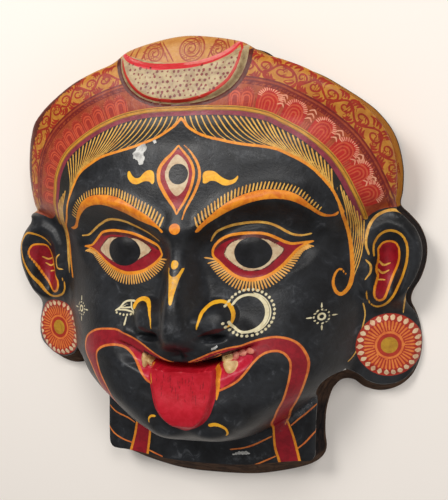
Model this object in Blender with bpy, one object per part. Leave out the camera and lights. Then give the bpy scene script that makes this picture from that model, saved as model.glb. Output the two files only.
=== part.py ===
"""Papier-mache mask of a three-eyed goddess, one hollow moulded shell lying face up.

Metres, +Z out of the face, +Y to the crown, +X to the viewer's right. The rim lies on z = 0 and the
middle of the rim's box is on the axis. Heights are measured from the rim's plane.
"""

import math

import bmesh
import bpy
import numpy as np

# Shell
WALL = 0.005
EDGE_ROUND = 0.010
DRAFT = 0.08
UNDERSIDE_DRAFT = 0.55
DRAFT_TOP = 0.038
LEAN_SMOOTHING = 10
PLATE_BLEND = 0.007

# Right half of the rim from the crown down to the neck, (x, y) with the eye line at y = 0
RIM = (
    (0.000, 0.206), (0.029, 0.203), (0.058, 0.196), (0.074, 0.185), (0.094, 0.178),
    (0.117, 0.168), (0.139, 0.154), (0.156, 0.142), (0.169, 0.131), (0.181, 0.116),
    (0.188, 0.102), (0.192, 0.087), (0.194, 0.070), (0.193, 0.052), (0.191, 0.039),
    (0.199, 0.030), (0.209, 0.018), (0.215, 0.002), (0.215, -0.015), (0.210, -0.032),
    (0.202, -0.046), (0.200, -0.056), (0.205, -0.068), (0.209, -0.083), (0.210, -0.099),
    (0.207, -0.116), (0.199, -0.132), (0.186, -0.143), (0.169, -0.148), (0.153, -0.145),
    (0.142, -0.138), (0.131, -0.138), (0.122, -0.146), (0.117, -0.158), (0.115, -0.175),
    (0.115, -0.195), (0.116, -0.210), (0.111, -0.221), (0.098, -0.230), (0.073, -0.238),
    (0.040, -0.2445), (0.000, -0.246),
)
RIM_STEPS = 2
LEFT_LOBE_SHORT = 0.017
LEFT_LOBE_FROM, LEFT_LOBE_TO = -0.095, -0.135
LEFT_BAND_IN = 0.003
LEFT_BAND_FROM, LEFT_BAND_TO = 0.032, 0.135
NECK_SHIFT = -0.003
NECK_SHIFT_FROM, NECK_SHIFT_TO = -0.150, -0.190
FLAP_OUT = 0.010
FLAP_AT, FLAP_HALF = 0.041, 0.006
MIDDLE_Y = (RIM[0][1] + RIM[-1][1]) / 2

# Half width of the moulded head, (y, half width)
HEAD_WIDTH = (
    (-0.200, 0.006), (-0.194, 0.032), (-0.188, 0.049), (-0.182, 0.062), (-0.174, 0.074),
    (-0.162, 0.092), (-0.150, 0.107), (-0.135, 0.127), (-0.118, 0.142), (-0.085, 0.149),
    (-0.050, 0.153), (-0.010, 0.158), (0.010, 0.161), (0.025, 0.168), (0.038, 0.182),
    (0.050, 0.194), (0.070, 0.198), (0.087, 0.196), (0.102, 0.192), (0.116, 0.185),
    (0.131, 0.174), (0.142, 0.162), (0.154, 0.145), (0.168, 0.123), (0.180, 0.101),
    (0.190, 0.080), (0.199, 0.056), (0.207, 0.032),
)

# Height of the head on its middle line without the nose, and at its edge, (y, height)
HEAD_MIDDLE = (
    (-0.200, 0.036), (-0.194, 0.050), (-0.188, 0.071), (-0.182, 0.090), (-0.175, 0.104),
    (-0.166, 0.114), (-0.156, 0.119), (-0.146, 0.121), (-0.124, 0.118), (-0.110, 0.117),
    (-0.097, 0.119), (-0.080, 0.114), (-0.060, 0.109), (-0.040, 0.106), (-0.020, 0.104),
    (0.000, 0.105), (0.012, 0.110), (0.025, 0.116), (0.040, 0.117), (0.055, 0.116),
    (0.075, 0.113), (0.101, 0.108), (0.125, 0.098), (0.140, 0.096), (0.170, 0.091),
    (0.190, 0.087), (0.207, 0.082),
)
HEAD_EDGE = (
    (-0.200, 0.036), (-0.120, 0.038), (-0.020, 0.038), (0.038, 0.036), (0.068, 0.041),
    (0.084, 0.046), (0.104, 0.054), (0.117, 0.062), (0.131, 0.073), (0.149, 0.083),
    (0.163, 0.085), (0.178, 0.084), (0.192, 0.080), (0.207, 0.077),
)
HEAD_FALL = ((-0.200, 3.2), (-0.060, 3.2), (0.010, 2.4), (0.060, 2.2), (0.207, 2.2))

# Nose ridge over the head, (y, height, half width)
NOSE = (
    (-0.093, 0.000, 0.019), (-0.087, 0.007, 0.022), (-0.081, 0.023, 0.024), (-0.074, 0.034, 0.027),
    (-0.065, 0.039, 0.027), (-0.055, 0.040, 0.025), (-0.041, 0.039, 0.022), (-0.025, 0.032, 0.019),
    (-0.007, 0.024, 0.017), (0.010, 0.015, 0.015), (0.024, 0.008, 0.014), (0.038, 0.000, 0.013),
)
NOSE_FALL = 2.5
NOSTRIL = (0.033, -0.057)
NOSTRIL_SIZE = (0.021, 0.019)
NOSTRIL_HEIGHT = 0.017
NOSTRIL_SLOT = (0.031, -0.075)
NOSTRIL_SLOT_SIZE = (0.017, 0.005)
NOSTRIL_SLOT_DEPTH = 0.007

# Eyes
SOCKET = (0.071, 0.013)
SOCKET_SIZE = (0.060, 0.038)
SOCKET_DEPTH = 0.015
EYEBALL = (0.068, 0.003)
EYEBALL_SIZE = (0.044, 0.025)
EYEBALL_HEIGHT = 0.012
PUPIL = (0.066, 0.004)
PUPIL_RADIUS = 0.019
PUPIL_HEIGHT = 0.003
BROW = ((0.016, 0.022), (0.036, 0.036), (0.060, 0.048), (0.085, 0.054), (0.110, 0.051), (0.127, 0.041), (0.137, 0.031))
BROW_WIDTH = 0.010
BROW_HEIGHT = 0.006

# Cheeks, lips, mouth, tongue and chin
CHEEK = (0.096, -0.068)
CHEEK_SIZE = (0.046, 0.040)
CHEEK_HEIGHT = 0.003
LIP_LINE = ((0.000, -0.098), (0.017, -0.097), (0.031, -0.093), (0.044, -0.088), (0.057, -0.083), (0.075, -0.078))
LIP_FOLD = ((0.010, -0.091), (0.028, -0.083), (0.044, -0.074), (0.056, -0.070))
LIP_FOLD_WIDTH = 0.009
LIP_FOLD_HEIGHT = 0.007
SLOT_HALF = 0.034
SLOT_DROP = 0.009
SLOT_DEPTH = 0.022
GUM_HALF = 0.073
GUM_DROP = 0.024
GUM_DEPTH = 0.010
TONGUE = (
    (-0.163, 0.004), (-0.159, 0.013), (-0.154, 0.020), (-0.146, 0.026), (-0.135, 0.030),
    (-0.122, 0.033), (-0.111, 0.035), (-0.102, 0.034),
)
TONGUE_HEIGHT = 0.007
TONGUE_ROUND = 0.006
CHIN_LOBE = (0.024, -0.171)
CHIN_LOBE_SIZE = (0.024, 0.014)
CHIN_LOBE_HEIGHT = 0.006

# Ears
EAR_IN = 0.140
EAR_UPPER = (0.165, 0.042, 0.14)
EAR_LOWER = (0.179, 0.020, 0.36)
EAR_TURN = (-0.070, -0.040)
EAR_BOWL = (0.181, -0.018)
EAR_BOWL_SIZE = (0.019, 0.044)
EAR_BOWL_DEPTH = 0.008
DISC = (0.181, -0.097)
LEFT_DISC = (0.176, -0.088)
DISC_RADIUS = 0.029
DISC_HEIGHT = 0.003

# Neck plate and the crescent over the forehead
NECK_TOP = -0.120
NECK_HEIGHT = 0.039
NECK_FADE = 0.020
CRESCENT_TIP = (0.063, 0.190)
CRESCENT_LOW = 0.139
CRESCENT_BELLY = 2.4
CRESCENT_SAG = 0.014
CRESCENT_HEIGHT = 0.006
CRESCENT_ROUND = 0.004

# Facets
FACE_X, FACE_Y = 0.0057, 0.0064
CHEEK_X, SIDE_X = 0.0086, 0.0104
NECK_Y, BAND_Y, CROWN_Y = 0.0130, 0.0110, 0.0076
FACE_HALF, CHEEK_HALF = 0.066, 0.156
FACE_BOTTOM, FACE_TOP, CROWN_BOTTOM = -0.201, 0.062, 0.130
INSIDE_STEP = 0.0135
BLOCK_MARGIN = 0.012
SKIN_COLOUR = (0.035, 0.037, 0.042, 1.0)
SKIN_ROUGHNESS = 0.6


def fresh_collections(name):
    """Clears the file and returns the object's and the cutters' collections."""
    for ob in list(bpy.data.objects):
        bpy.data.objects.remove(ob, do_unlink=True)
    made = bpy.data.collections.new(name)
    cut = bpy.data.collections.new(name + "_cutters")
    for group in (made, cut):
        bpy.context.scene.collection.children.link(group)
    return made, cut


def through(table, at, column=1):
    """Smooth curve through a table's rows: cubic between stations, slopes by finite difference."""
    rows = np.array(sorted(table), float)
    u, v = rows[:, 0], rows[:, column]
    slope = np.gradient(v, u)
    at = np.clip(at, u[0], u[-1])
    i = np.clip(np.searchsorted(u, at, side="right") - 1, 0, len(u) - 2)
    h = u[i + 1] - u[i]
    t = (at - u[i]) / h
    a = (1 + 2 * t) * (1 - t) ** 2 * v[i] + t * (1 - t) ** 2 * h * slope[i]
    b = t * t * (3 - 2 * t) * v[i + 1] + t * t * (t - 1) * h * slope[i + 1]
    return a + b


def ease(low, high, at):
    """Smooth step from 0 at low to 1 at high."""
    t = np.clip((at - low) / (high - low), 0.0, 1.0)
    return t * t * (3.0 - 2.0 * t)


def swell(x, y, centre, size, power=2.0):
    """Round bump, 1 in its centre and 0 at its elliptical edge."""
    r = np.hypot((x - centre[0]) / size[0], (y - centre[1]) / size[1])
    return (1.0 - np.clip(r, 0.0, 1.0) ** power) ** 2


def soft_max(a, b, blend):
    """Larger of two heights with a fillet where they meet."""
    h = np.clip(0.5 + 0.5 * (a - b) / blend, 0.0, 1.0)
    return b + (a - b) * h + blend * h * (1.0 - h)


def to_line(x, y, line):
    """Distance from each point to a line of straight spans."""
    best = np.full(np.shape(x), 1.0)
    for (ax, ay), (bx, by) in zip(line[:-1], line[1:]):
        dx, dy = bx - ax, by - ay
        t = np.clip(((x - ax) * dx + (y - ay) * dy) / (dx * dx + dy * dy), 0.0, 1.0)
        best = np.minimum(best, np.hypot(x - ax - t * dx, y - ay - t * dy))
    return best


def head(x, y):
    """Dome of the face and headband: middle height falling to the edge height across the width."""
    width = np.maximum(through(HEAD_WIDTH, y), 0.004)
    edge = through(HEAD_EDGE, y)
    middle = through(HEAD_MIDDLE, y)
    t = x / width
    z = edge + (middle - edge) * (1.0 - np.clip(t, 0.0, 1.0) ** through(HEAD_FALL, y))
    return z - 1.1 * np.clip(t - 1.0, 0.0, 0.4) * width


def ears(x, y, left):
    """Ear plates leaning outward, with a hollowed bowl and a raised round disc below it."""
    disc_x = np.where(left, LEFT_DISC[0], DISC[0])
    disc_y = np.where(left, LEFT_DISC[1], DISC[1])
    upper = EAR_UPPER[1] - EAR_UPPER[2] * (x - EAR_UPPER[0])
    lower = EAR_LOWER[1] - EAR_LOWER[2] * (x - EAR_LOWER[0])
    turn = ease(EAR_TURN[0], EAR_TURN[1], y)
    z = lower + (upper - lower) * turn
    z = z - EAR_BOWL_DEPTH * swell(x, y, EAR_BOWL, EAR_BOWL_SIZE)
    z = z + DISC_HEIGHT * (1.0 - ease(0.85, 1.05, np.hypot(x - disc_x, y - disc_y) / DISC_RADIUS))
    reach = ease(EAR_IN - 0.010, EAR_IN, x) * (1.0 - ease(0.034, 0.050, y)) * ease(-0.165, -0.150, y)
    return z * reach


def neck(x, y):
    """Flat plate under the chin."""
    return NECK_HEIGHT * (1.0 - ease(NECK_TOP, NECK_TOP + NECK_FADE, y)) * (1.0 - ease(0.130, 0.150, x))


def eyes(x, y):
    """Hollow sockets with domed eyeballs, round pupils and the ridge of the brows."""
    z = -SOCKET_DEPTH * swell(x, y, SOCKET, SOCKET_SIZE, 3.0)
    z = z + EYEBALL_HEIGHT * swell(x, y, EYEBALL, EYEBALL_SIZE, 3.0)
    z = z + PUPIL_HEIGHT * swell(x, y, PUPIL, (PUPIL_RADIUS, PUPIL_RADIUS))
    return z + BROW_HEIGHT * np.exp(-((to_line(x, y, BROW) / BROW_WIDTH) ** 2))


def nose(x, y):
    """Long ridge with round wings and the slots of the nostrils under them."""
    width = through(NOSE, y, 2)
    inside = ease(NOSE[0][0], NOSE[0][0] + 0.004, y) * (1.0 - ease(NOSE[-1][0] - 0.006, NOSE[-1][0], y))
    z = through(NOSE, y, 1) * np.exp(-((x / (0.8 * width)) ** NOSE_FALL)) * inside
    z = z + NOSTRIL_HEIGHT * swell(x, y, NOSTRIL, NOSTRIL_SIZE, 3.0)
    return z - NOSTRIL_SLOT_DEPTH * swell(x, y, NOSTRIL_SLOT, NOSTRIL_SLOT_SIZE)


def mouth(x, y):
    """Swollen upper lip, gum groove, open slot, hanging tongue and the two lobes of the chin."""
    below = through(LIP_LINE, x) - y
    z = LIP_FOLD_HEIGHT * np.exp(-((to_line(x, y, LIP_FOLD) / LIP_FOLD_WIDTH) ** 2))
    gum = ease(0.0, 0.003, below) * (1.0 - ease(GUM_DROP * 0.5, GUM_DROP, below))
    gum = gum * (1.0 - ease(GUM_HALF - 0.020, GUM_HALF, x))
    slot = ease(0.0, 0.0025, below) * (1.0 - ease(SLOT_DROP - 0.0025, SLOT_DROP, below))
    z = z - SLOT_DEPTH * slot * (1.0 - ease(SLOT_HALF - 0.005, SLOT_HALF + 0.004, x))
    half = through(TONGUE, y)
    side = ease(0.0, TONGUE_ROUND, half - x)
    long = ease(TONGUE[0][0], TONGUE[0][0] + TONGUE_ROUND, y) * (1.0 - ease(-0.107, -0.103, y))
    z = z + TONGUE_HEIGHT * side * long - GUM_DEPTH * gum * (1.0 - side * long)
    return z + CHIN_LOBE_HEIGHT * swell(x, y, CHIN_LOBE, CHIN_LOBE_SIZE)


def crescent(x, y):
    """Moon-shaped boss: inside a full low oval and under a flatter arc through the same tips."""
    tip_x, tip_y = CRESCENT_TIP
    drop = tip_y - CRESCENT_LOW
    flat_r = (tip_x ** 2 + CRESCENT_SAG ** 2) / (2 * CRESCENT_SAG)
    oval = (x / tip_x) ** CRESCENT_BELLY + (np.maximum(tip_y - y, 0.0) / drop) ** CRESCENT_BELLY
    low = drop * (1.0 - oval ** (1.0 / CRESCENT_BELLY))
    high = np.hypot(x, y - (tip_y - CRESCENT_SAG + flat_r)) - flat_r
    return CRESCENT_HEIGHT * ease(0.0, CRESCENT_ROUND, low) * ease(0.0, CRESCENT_ROUND, high)


def surface(x, y):
    """Height of the mask's front over the rim, with no turned edge."""
    left = x < 0.0
    x = np.abs(x)
    moulded = head(x, y) + CHEEK_HEIGHT * swell(x, y, CHEEK, CHEEK_SIZE)
    moulded = moulded + eyes(x, y) + nose(x, y) + mouth(x, y) + crescent(x, y)
    return soft_max(soft_max(moulded, ears(x, y, left), PLATE_BLEND), neck(x, y), PLATE_BLEND)


def rim_points(inset, height):
    """Rim outline, with a torn flap at the left end of the headband, moved in by inset and lean."""
    half = np.array(RIM)
    other = half[-2:0:-1] * (-1.0, 1.0)
    lobe = ease(LEFT_LOBE_FROM, LEFT_LOBE_TO, other[:, 1]) * (other[:, 0] < -0.125)
    other[:, 1] += LEFT_LOBE_SHORT * lobe
    middle = (LEFT_BAND_FROM + LEFT_BAND_TO) / 2
    other[:, 0] += LEFT_BAND_IN * (1.0 - ease(0.3, 1.0, np.abs(other[:, 1] - middle) / (LEFT_BAND_TO - middle)))
    torn = np.exp(-(((other[:, 1] - FLAP_AT) / FLAP_HALF) ** 2)) * (other[:, 0] < -0.125)
    other[:, 0] -= FLAP_OUT * torn
    full = np.concatenate([half, other])
    full[:, 0] += NECK_SHIFT * ease(NECK_SHIFT_FROM, NECK_SHIFT_TO, full[:, 1])
    p0, p1, p2, p3 = (np.roll(full, s, axis=0) for s in (1, 0, -1, -2))
    rows = []
    for t in np.arange(RIM_STEPS) / RIM_STEPS:
        rows.append(
            0.5 * (2 * p1 + (p2 - p0) * t + (2 * p0 - 5 * p1 + 4 * p2 - p3) * t * t
                   + (3 * p1 - p0 - 3 * p2 + p3) * t ** 3)
        )
    points = np.stack(rows, 1).reshape(-1, 2)
    along = np.roll(points, -1, axis=0) - np.roll(points, 1, axis=0)
    along = along / np.linalg.norm(along, axis=1, keepdims=True)
    outward = np.stack([-along[:, 1], along[:, 0]], 1)
    lean = DRAFT + UNDERSIDE_DRAFT * np.clip(-outward[:, 1], 0.0, 1.0) ** 2
    for _ in range(LEAN_SMOOTHING):
        lean = 0.25 * np.roll(lean, 1) + 0.5 * lean + 0.25 * np.roll(lean, -1)
    return points - outward * (inset + lean * min(height, DRAFT_TOP))[:, None]


def rim_distance(x, y):
    """Distance from each point to the rim outline."""
    ring = rim_points(0.0, 0.0)
    return to_line(x, y, list(map(tuple, ring)) + [tuple(ring[0])])


def turned_edge(distance):
    """Drop of the front near the rim, a quarter round."""
    t = np.clip(1.0 - distance / EDGE_ROUND, 0.0, 1.0)
    return EDGE_ROUND * (1.0 - np.sqrt(1.0 - t * t)) * 0.8


def lines(marks):
    """Grid lines from spans of (start, end, largest step)."""
    out = [marks[0][0]]
    for start, end, step in marks:
        count = max(1, math.ceil((end - start) / step - 1e-9))
        out += [start + (end - start) * (k + 1) / count for k in range(count)]
    return np.array(out)


def block(name, xs, ys, height, floor, group):
    """Closed block under a grid of heights, down to a flat floor."""
    gx, gy = np.meshgrid(xs, ys, indexing="ij")
    z = height(gx, gy)
    nx, ny = len(xs), len(ys)
    mesh = bmesh.new()
    top = [mesh.verts.new((gx.flat[k], gy.flat[k] - MIDDLE_Y, z.flat[k])) for k in range(nx * ny)]
    ring = [i * ny for i in range(nx)] + [(nx - 1) * ny + j for j in range(1, ny)]
    ring += [i * ny + ny - 1 for i in range(nx - 2, -1, -1)] + [j for j in range(ny - 2, 0, -1)]
    low = [mesh.verts.new((top[k].co.x, top[k].co.y, floor)) for k in ring]
    for i in range(nx - 1):
        for j in range(ny - 1):
            a, b, c, d = i * ny + j, (i + 1) * ny + j, (i + 1) * ny + j + 1, i * ny + j + 1
            if (gx[i, j] + gx[i + 1, j]) * (gy[i, j] + gy[i, j + 1]) > 0:
                corners = ((a, b, c), (a, c, d))
            else:
                corners = ((a, b, d), (b, c, d))
            for face in corners:
                mesh.faces.new([top[k] for k in face])
    for k in range(len(ring)):
        n = (k + 1) % len(ring)
        mesh.faces.new((top[ring[k]], low[k], low[n], top[ring[n]]))
    mesh.faces.new(low[::-1])
    return finish(name, mesh, group)


def prism(name, inset, levels, group):
    """Closed drafted prism on the rim outline through a list of heights."""
    mesh = bmesh.new()
    rings = []
    for level in levels:
        points = rim_points(inset, max(level, 0.0))
        rings.append([mesh.verts.new((x, y - MIDDLE_Y, level)) for x, y in points])
    count = len(rings[0])
    for lower, upper in zip(rings[:-1], rings[1:]):
        for k in range(count):
            n = (k + 1) % count
            mesh.faces.new((lower[k], lower[n], upper[n], upper[k]))
    mesh.faces.new(rings[0])
    mesh.faces.new(rings[-1])
    return finish(name, mesh, group)


def finish(name, mesh, group):
    """Turns the built faces into an object with outward faces."""
    bmesh.ops.recalc_face_normals(mesh, faces=mesh.faces)
    data = bpy.data.meshes.new(name)
    mesh.to_mesh(data)
    mesh.free()
    ob = bpy.data.objects.new(name, data)
    group.objects.link(ob)
    return ob


def hide(ob):
    """A cutter is drawn as wire and never rendered."""
    ob.hide_render = True
    ob.display_type = "WIRE"
    return ob


def boolean(ob, tool, operation):
    """Exact Boolean of the tool on the object."""
    step = ob.modifiers.new(tool.name, "BOOLEAN")
    step.operation = operation
    step.solver = "EXACT"
    step.object = tool


def inner_height(x, y):
    """Height of the hollow's ceiling: the lowest front near each point, one wall lower."""
    low = np.full(np.shape(x), 1.0)
    for ring, count in ((0.0, 1), (0.5, 8), (1.0, 12)):
        for k in range(count):
            turn = 2.0 * math.pi * k / count
            reach = ring * INSIDE_STEP * 0.75
            px, py = x + reach * math.cos(turn), y + reach * math.sin(turn)
            low = np.minimum(low, surface(px, py))
    return low - WALL * 1.15 - turned_edge(rim_distance(x, y) - WALL)


def build():
    """Builds the shell: front block cut to the rim outline, then hollowed from behind."""
    made, cut = fresh_collections("goddess_mask")
    half_x = max(x for x, y in RIM) + BLOCK_MARGIN
    top_y, low_y = max(y for x, y in RIM) + BLOCK_MARGIN, min(y for x, y in RIM) - BLOCK_MARGIN
    xs = lines(((0.0, FACE_HALF, FACE_X), (FACE_HALF, CHEEK_HALF, CHEEK_X), (CHEEK_HALF, half_x, SIDE_X)))
    xs = np.concatenate([-xs[:0:-1], xs])
    ys = lines(
        (
            (low_y, FACE_BOTTOM, NECK_Y), (FACE_BOTTOM, FACE_TOP, FACE_Y),
            (FACE_TOP, CROWN_BOTTOM, BAND_Y), (CROWN_BOTTOM, top_y, CROWN_Y),
        )
    )

    def front(x, y):
        return surface(x, y) - turned_edge(rim_distance(x, y))

    shell = block("mask_shell", xs, ys, front, -0.010, made)
    outline = hide(prism("rim_prism", 0.0, (0.0, DRAFT_TOP, 0.200), cut))
    boolean(shell, outline, "INTERSECT")
    count_x = math.ceil(2 * half_x / INSIDE_STEP)
    count_y = math.ceil((top_y - low_y) / INSIDE_STEP)
    inside = hide(
        block(
            "hollow_ceiling", np.linspace(-half_x, half_x, count_x + 1),
            np.linspace(low_y, top_y, count_y + 1), inner_height, -0.030, cut,
        )
    )
    hollow_rim = hide(prism("hollow_prism", WALL, (-0.020, 0.0, DRAFT_TOP, 0.200), cut))
    boolean(inside, hollow_rim, "INTERSECT")
    boolean(shell, inside, "DIFFERENCE")
    skin = bpy.data.materials.new("painted_paper")
    skin.use_nodes = True
    look = skin.node_tree.nodes["Principled BSDF"]
    look.inputs["Base Color"].default_value = SKIN_COLOUR
    look.inputs["Roughness"].default_value = SKIN_ROUGHNESS
    shell.data.materials.append(skin)


build()
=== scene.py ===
"""Papier-mache mask of a three-eyed goddess: moulded hollow shell with its brush-painted face.

Forms are in metres and paint is in millimetres, both from the eye line: x to the viewer's right,
y to the crown, z out of the face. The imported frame's y is MIDDLE_Y further up.
"""

import logging
import math
from dataclasses import dataclass, field
from enum import Enum

import bpy
import numpy as np
from mathutils import Matrix


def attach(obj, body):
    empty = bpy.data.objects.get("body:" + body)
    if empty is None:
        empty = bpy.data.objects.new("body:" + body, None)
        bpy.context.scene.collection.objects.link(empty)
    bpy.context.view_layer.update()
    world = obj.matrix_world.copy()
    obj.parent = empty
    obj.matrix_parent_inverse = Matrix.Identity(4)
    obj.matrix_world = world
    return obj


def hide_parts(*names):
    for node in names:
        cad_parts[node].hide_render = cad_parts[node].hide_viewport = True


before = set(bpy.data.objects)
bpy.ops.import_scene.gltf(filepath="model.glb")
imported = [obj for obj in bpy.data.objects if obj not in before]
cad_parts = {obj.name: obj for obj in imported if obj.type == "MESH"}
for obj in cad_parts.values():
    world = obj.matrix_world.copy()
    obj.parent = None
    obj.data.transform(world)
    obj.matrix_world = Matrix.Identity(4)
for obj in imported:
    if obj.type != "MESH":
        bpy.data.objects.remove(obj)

LOG = logging.getLogger("goddess_mask")
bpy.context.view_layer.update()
Points = list[tuple[float, float]]
Table = tuple[tuple[float, ...], ...]
Colour = tuple[float, float, float]
Value = bpy.types.NodeSocket | float | Colour


# Working curves

def through(table: Table, at: np.ndarray, column: int = 1) -> np.ndarray:
    """Smooth curve through a table's rows: Hermite cubic between stations, finite-difference slopes.

    Args:
        table: Rows whose first value is the station.
        at: Where to read the curve.
        column: Which value of the rows to read.

    Returns:
        The curve's value at each place.
    """
    rows = np.array(sorted(table), float)
    u, v = rows[:, 0], rows[:, column]
    slope = np.gradient(v, u)
    at = np.clip(at, u[0], u[-1])
    i = np.clip(np.searchsorted(u, at, side="right") - 1, 0, len(u) - 2)
    h = u[i + 1] - u[i]
    t = (at - u[i]) / h
    a = (1 + 2 * t) * (1 - t) ** 2 * v[i] + t * (1 - t) ** 2 * h * slope[i]
    return a + t * t * (3 - 2 * t) * v[i + 1] + t * t * (t - 1) * h * slope[i + 1]


def ease(low: float, high: float, at: np.ndarray) -> np.ndarray:
    """Smooth step: 3 t^2 - 2 t^3 with t from 0 at low to 1 at high."""
    t = np.clip((at - low) / (high - low), 0.0, 1.0)
    return t * t * (3.0 - 2.0 * t)


def swell(x: np.ndarray, y: np.ndarray, centre: tuple, size: tuple, power: float = 2.0) -> np.ndarray:
    """Round bump: (1 - r^power)^2, with r the elliptical distance, 1 at the bump's edge."""
    r = np.hypot((x - centre[0]) / size[0], (y - centre[1]) / size[1])
    return (1.0 - np.clip(r, 0.0, 1.0) ** power) ** 2


def soft_max(a: np.ndarray, b: np.ndarray, blend: float) -> np.ndarray:
    """Larger of two heights with a parabolic fillet as wide as blend where they meet."""
    h = np.clip(0.5 + 0.5 * (a - b) / blend, 0.0, 1.0)
    return b + (a - b) * h + blend * h * (1.0 - h)


def to_line(x: np.ndarray, y: np.ndarray, line: Points) -> np.ndarray:
    """Distance from each point to the nearest straight span of a line.

    Args:
        x: Right of the middle line.
        y: Above the eye line.
        line: Corners of the line.

    Returns:
        Distances.
    """
    best = np.full(np.shape(x), 1.0)
    for (ax, ay), (bx, by) in zip(line[:-1], line[1:]):
        dx, dy = bx - ax, by - ay
        t = np.clip(((x - ax) * dx + (y - ay) * dy) / (dx * dx + dy * dy), 0.0, 1.0)
        best = np.minimum(best, np.hypot(x - ax - t * dx, y - ay - t * dy))
    return best


def rounded(points: Points, steps: int, closed: bool) -> np.ndarray:
    """Points run through by a Catmull-Rom curve.

    Args:
        points: Corners of the line.
        steps: Curve points for each span.
        closed: Whether the last point joins the first.

    Returns:
        Curve points, one row each.
    """
    p = np.array(points, float)
    if not closed:
        p = np.concatenate([2 * p[:1] - p[1:2], p, 2 * p[-1:] - p[-2:-1]])
    p0, p1, p2, p3 = (np.roll(p, s, axis=0) for s in (1, 0, -1, -2))
    rows = [
        0.5 * (2 * p1 + (p2 - p0) * t + (2 * p0 - 5 * p1 + 4 * p2 - p3) * t * t
               + (3 * p1 - p0 - 3 * p2 + p3) * t ** 3)
        for t in np.arange(steps) / steps
    ]
    out = np.stack(rows, 1)
    if closed:
        return out.reshape(-1, out.shape[-1])
    return np.concatenate([out[1:-2].reshape(-1, out.shape[-1]), p[-2:-1]])


# Moulded forms

@dataclass
class HeadForm:
    """Dome of the face and headband."""

    width: Table = (
        (-0.200, 0.006), (-0.194, 0.032), (-0.188, 0.049), (-0.182, 0.062), (-0.174, 0.074),
        (-0.162, 0.092), (-0.150, 0.107), (-0.135, 0.127), (-0.118, 0.142), (-0.085, 0.149),
        (-0.050, 0.153), (-0.010, 0.158), (0.010, 0.161), (0.025, 0.168), (0.038, 0.182),
        (0.050, 0.194), (0.070, 0.198), (0.087, 0.196), (0.102, 0.192), (0.116, 0.185),
        (0.131, 0.174), (0.142, 0.162), (0.154, 0.145), (0.168, 0.123), (0.180, 0.101),
        (0.190, 0.080), (0.199, 0.056), (0.207, 0.032),
    )
    middle: Table = (
        (-0.200, 0.036), (-0.194, 0.050), (-0.188, 0.071), (-0.182, 0.090), (-0.175, 0.104),
        (-0.166, 0.114), (-0.156, 0.119), (-0.146, 0.121), (-0.124, 0.118), (-0.110, 0.117),
        (-0.097, 0.119), (-0.080, 0.114), (-0.060, 0.109), (-0.040, 0.106), (-0.020, 0.104),
        (0.000, 0.105), (0.012, 0.110), (0.025, 0.116), (0.040, 0.117), (0.055, 0.116),
        (0.075, 0.113), (0.101, 0.108), (0.125, 0.098), (0.140, 0.096), (0.170, 0.091),
        (0.190, 0.087), (0.207, 0.082),
    )
    edge: Table = (
        (-0.200, 0.036), (-0.120, 0.038), (-0.020, 0.038), (0.038, 0.036), (0.068, 0.041),
        (0.084, 0.046), (0.104, 0.054), (0.117, 0.062), (0.131, 0.073), (0.149, 0.083),
        (0.163, 0.085), (0.178, 0.084), (0.192, 0.080), (0.207, 0.077),
    )
    fall: Table = ((-0.200, 3.2), (-0.060, 3.2), (0.010, 2.4), (0.060, 2.2), (0.207, 2.2))
    cheek: tuple = (0.096, -0.068)
    cheek_size: tuple = (0.046, 0.040)
    cheek_height: float = 0.003
    least_width: float = 0.004
    side_fall: float = 1.1
    side_reach: float = 0.4

    def height(self, x: np.ndarray, y: np.ndarray) -> np.ndarray:
        """Middle height falling to the edge height as (x / half width)^fall, plus the cheek's swell.

        Args:
            x: Right of the middle line.
            y: Above the eye line.

        Returns:
            Heights.
        """
        width = np.maximum(through(self.width, y), self.least_width)
        edge, middle = through(self.edge, y), through(self.middle, y)
        t = x / width
        z = edge + (middle - edge) * (1.0 - np.clip(t, 0.0, 1.0) ** through(self.fall, y))
        z = z + self.cheek_height * swell(x, y, self.cheek, self.cheek_size)
        return z - self.side_fall * np.clip(t - 1.0, 0.0, self.side_reach) * width


@dataclass
class EyeForm:
    """Hollow sockets with domed eyeballs, lids, round pupils and brow ridges."""

    socket: tuple = (0.071, 0.013)
    socket_size: tuple = (0.060, 0.038)
    socket_depth: float = 0.015
    ball: tuple = (0.068, 0.003)
    ball_size: tuple = (0.044, 0.025)
    ball_height: float = 0.012
    pupil: tuple = (0.066, 0.004)
    pupil_radius: float = 0.019
    pupil_height: float = 0.003
    lid: tuple = ((0.029, 0.004), (0.040, 0.015), (0.056, 0.022), (0.072, 0.024), (0.090, 0.020),
        (0.106, 0.012))
    lid_width: float = 0.0032
    lid_height: float = 0.0016
    brow: tuple = (
        (0.016, 0.022), (0.036, 0.036), (0.060, 0.048), (0.085, 0.054),
        (0.110, 0.051), (0.127, 0.041), (0.137, 0.031),
    )
    brow_width: float = 0.010
    brow_height: float = 0.006

    def height(self, x: np.ndarray, y: np.ndarray) -> np.ndarray:
        """Minus the socket's bump, plus the ball's and pupil's bumps and Gaussian ridges on lid and brow.

        Args:
            x: Right of the middle line.
            y: Above the eye line.

        Returns:
            Heights.
        """
        z = -self.socket_depth * swell(x, y, self.socket, self.socket_size, 3.0)
        z = z + self.ball_height * swell(x, y, self.ball, self.ball_size, 3.0)
        z = z + self.pupil_height * swell(x, y, self.pupil, (self.pupil_radius, self.pupil_radius))
        z = z + self.lid_height * np.exp(-((to_line(x, y, self.lid) / self.lid_width) ** 2))
        return z + self.brow_height * np.exp(-((to_line(x, y, self.brow) / self.brow_width) ** 2))


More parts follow.
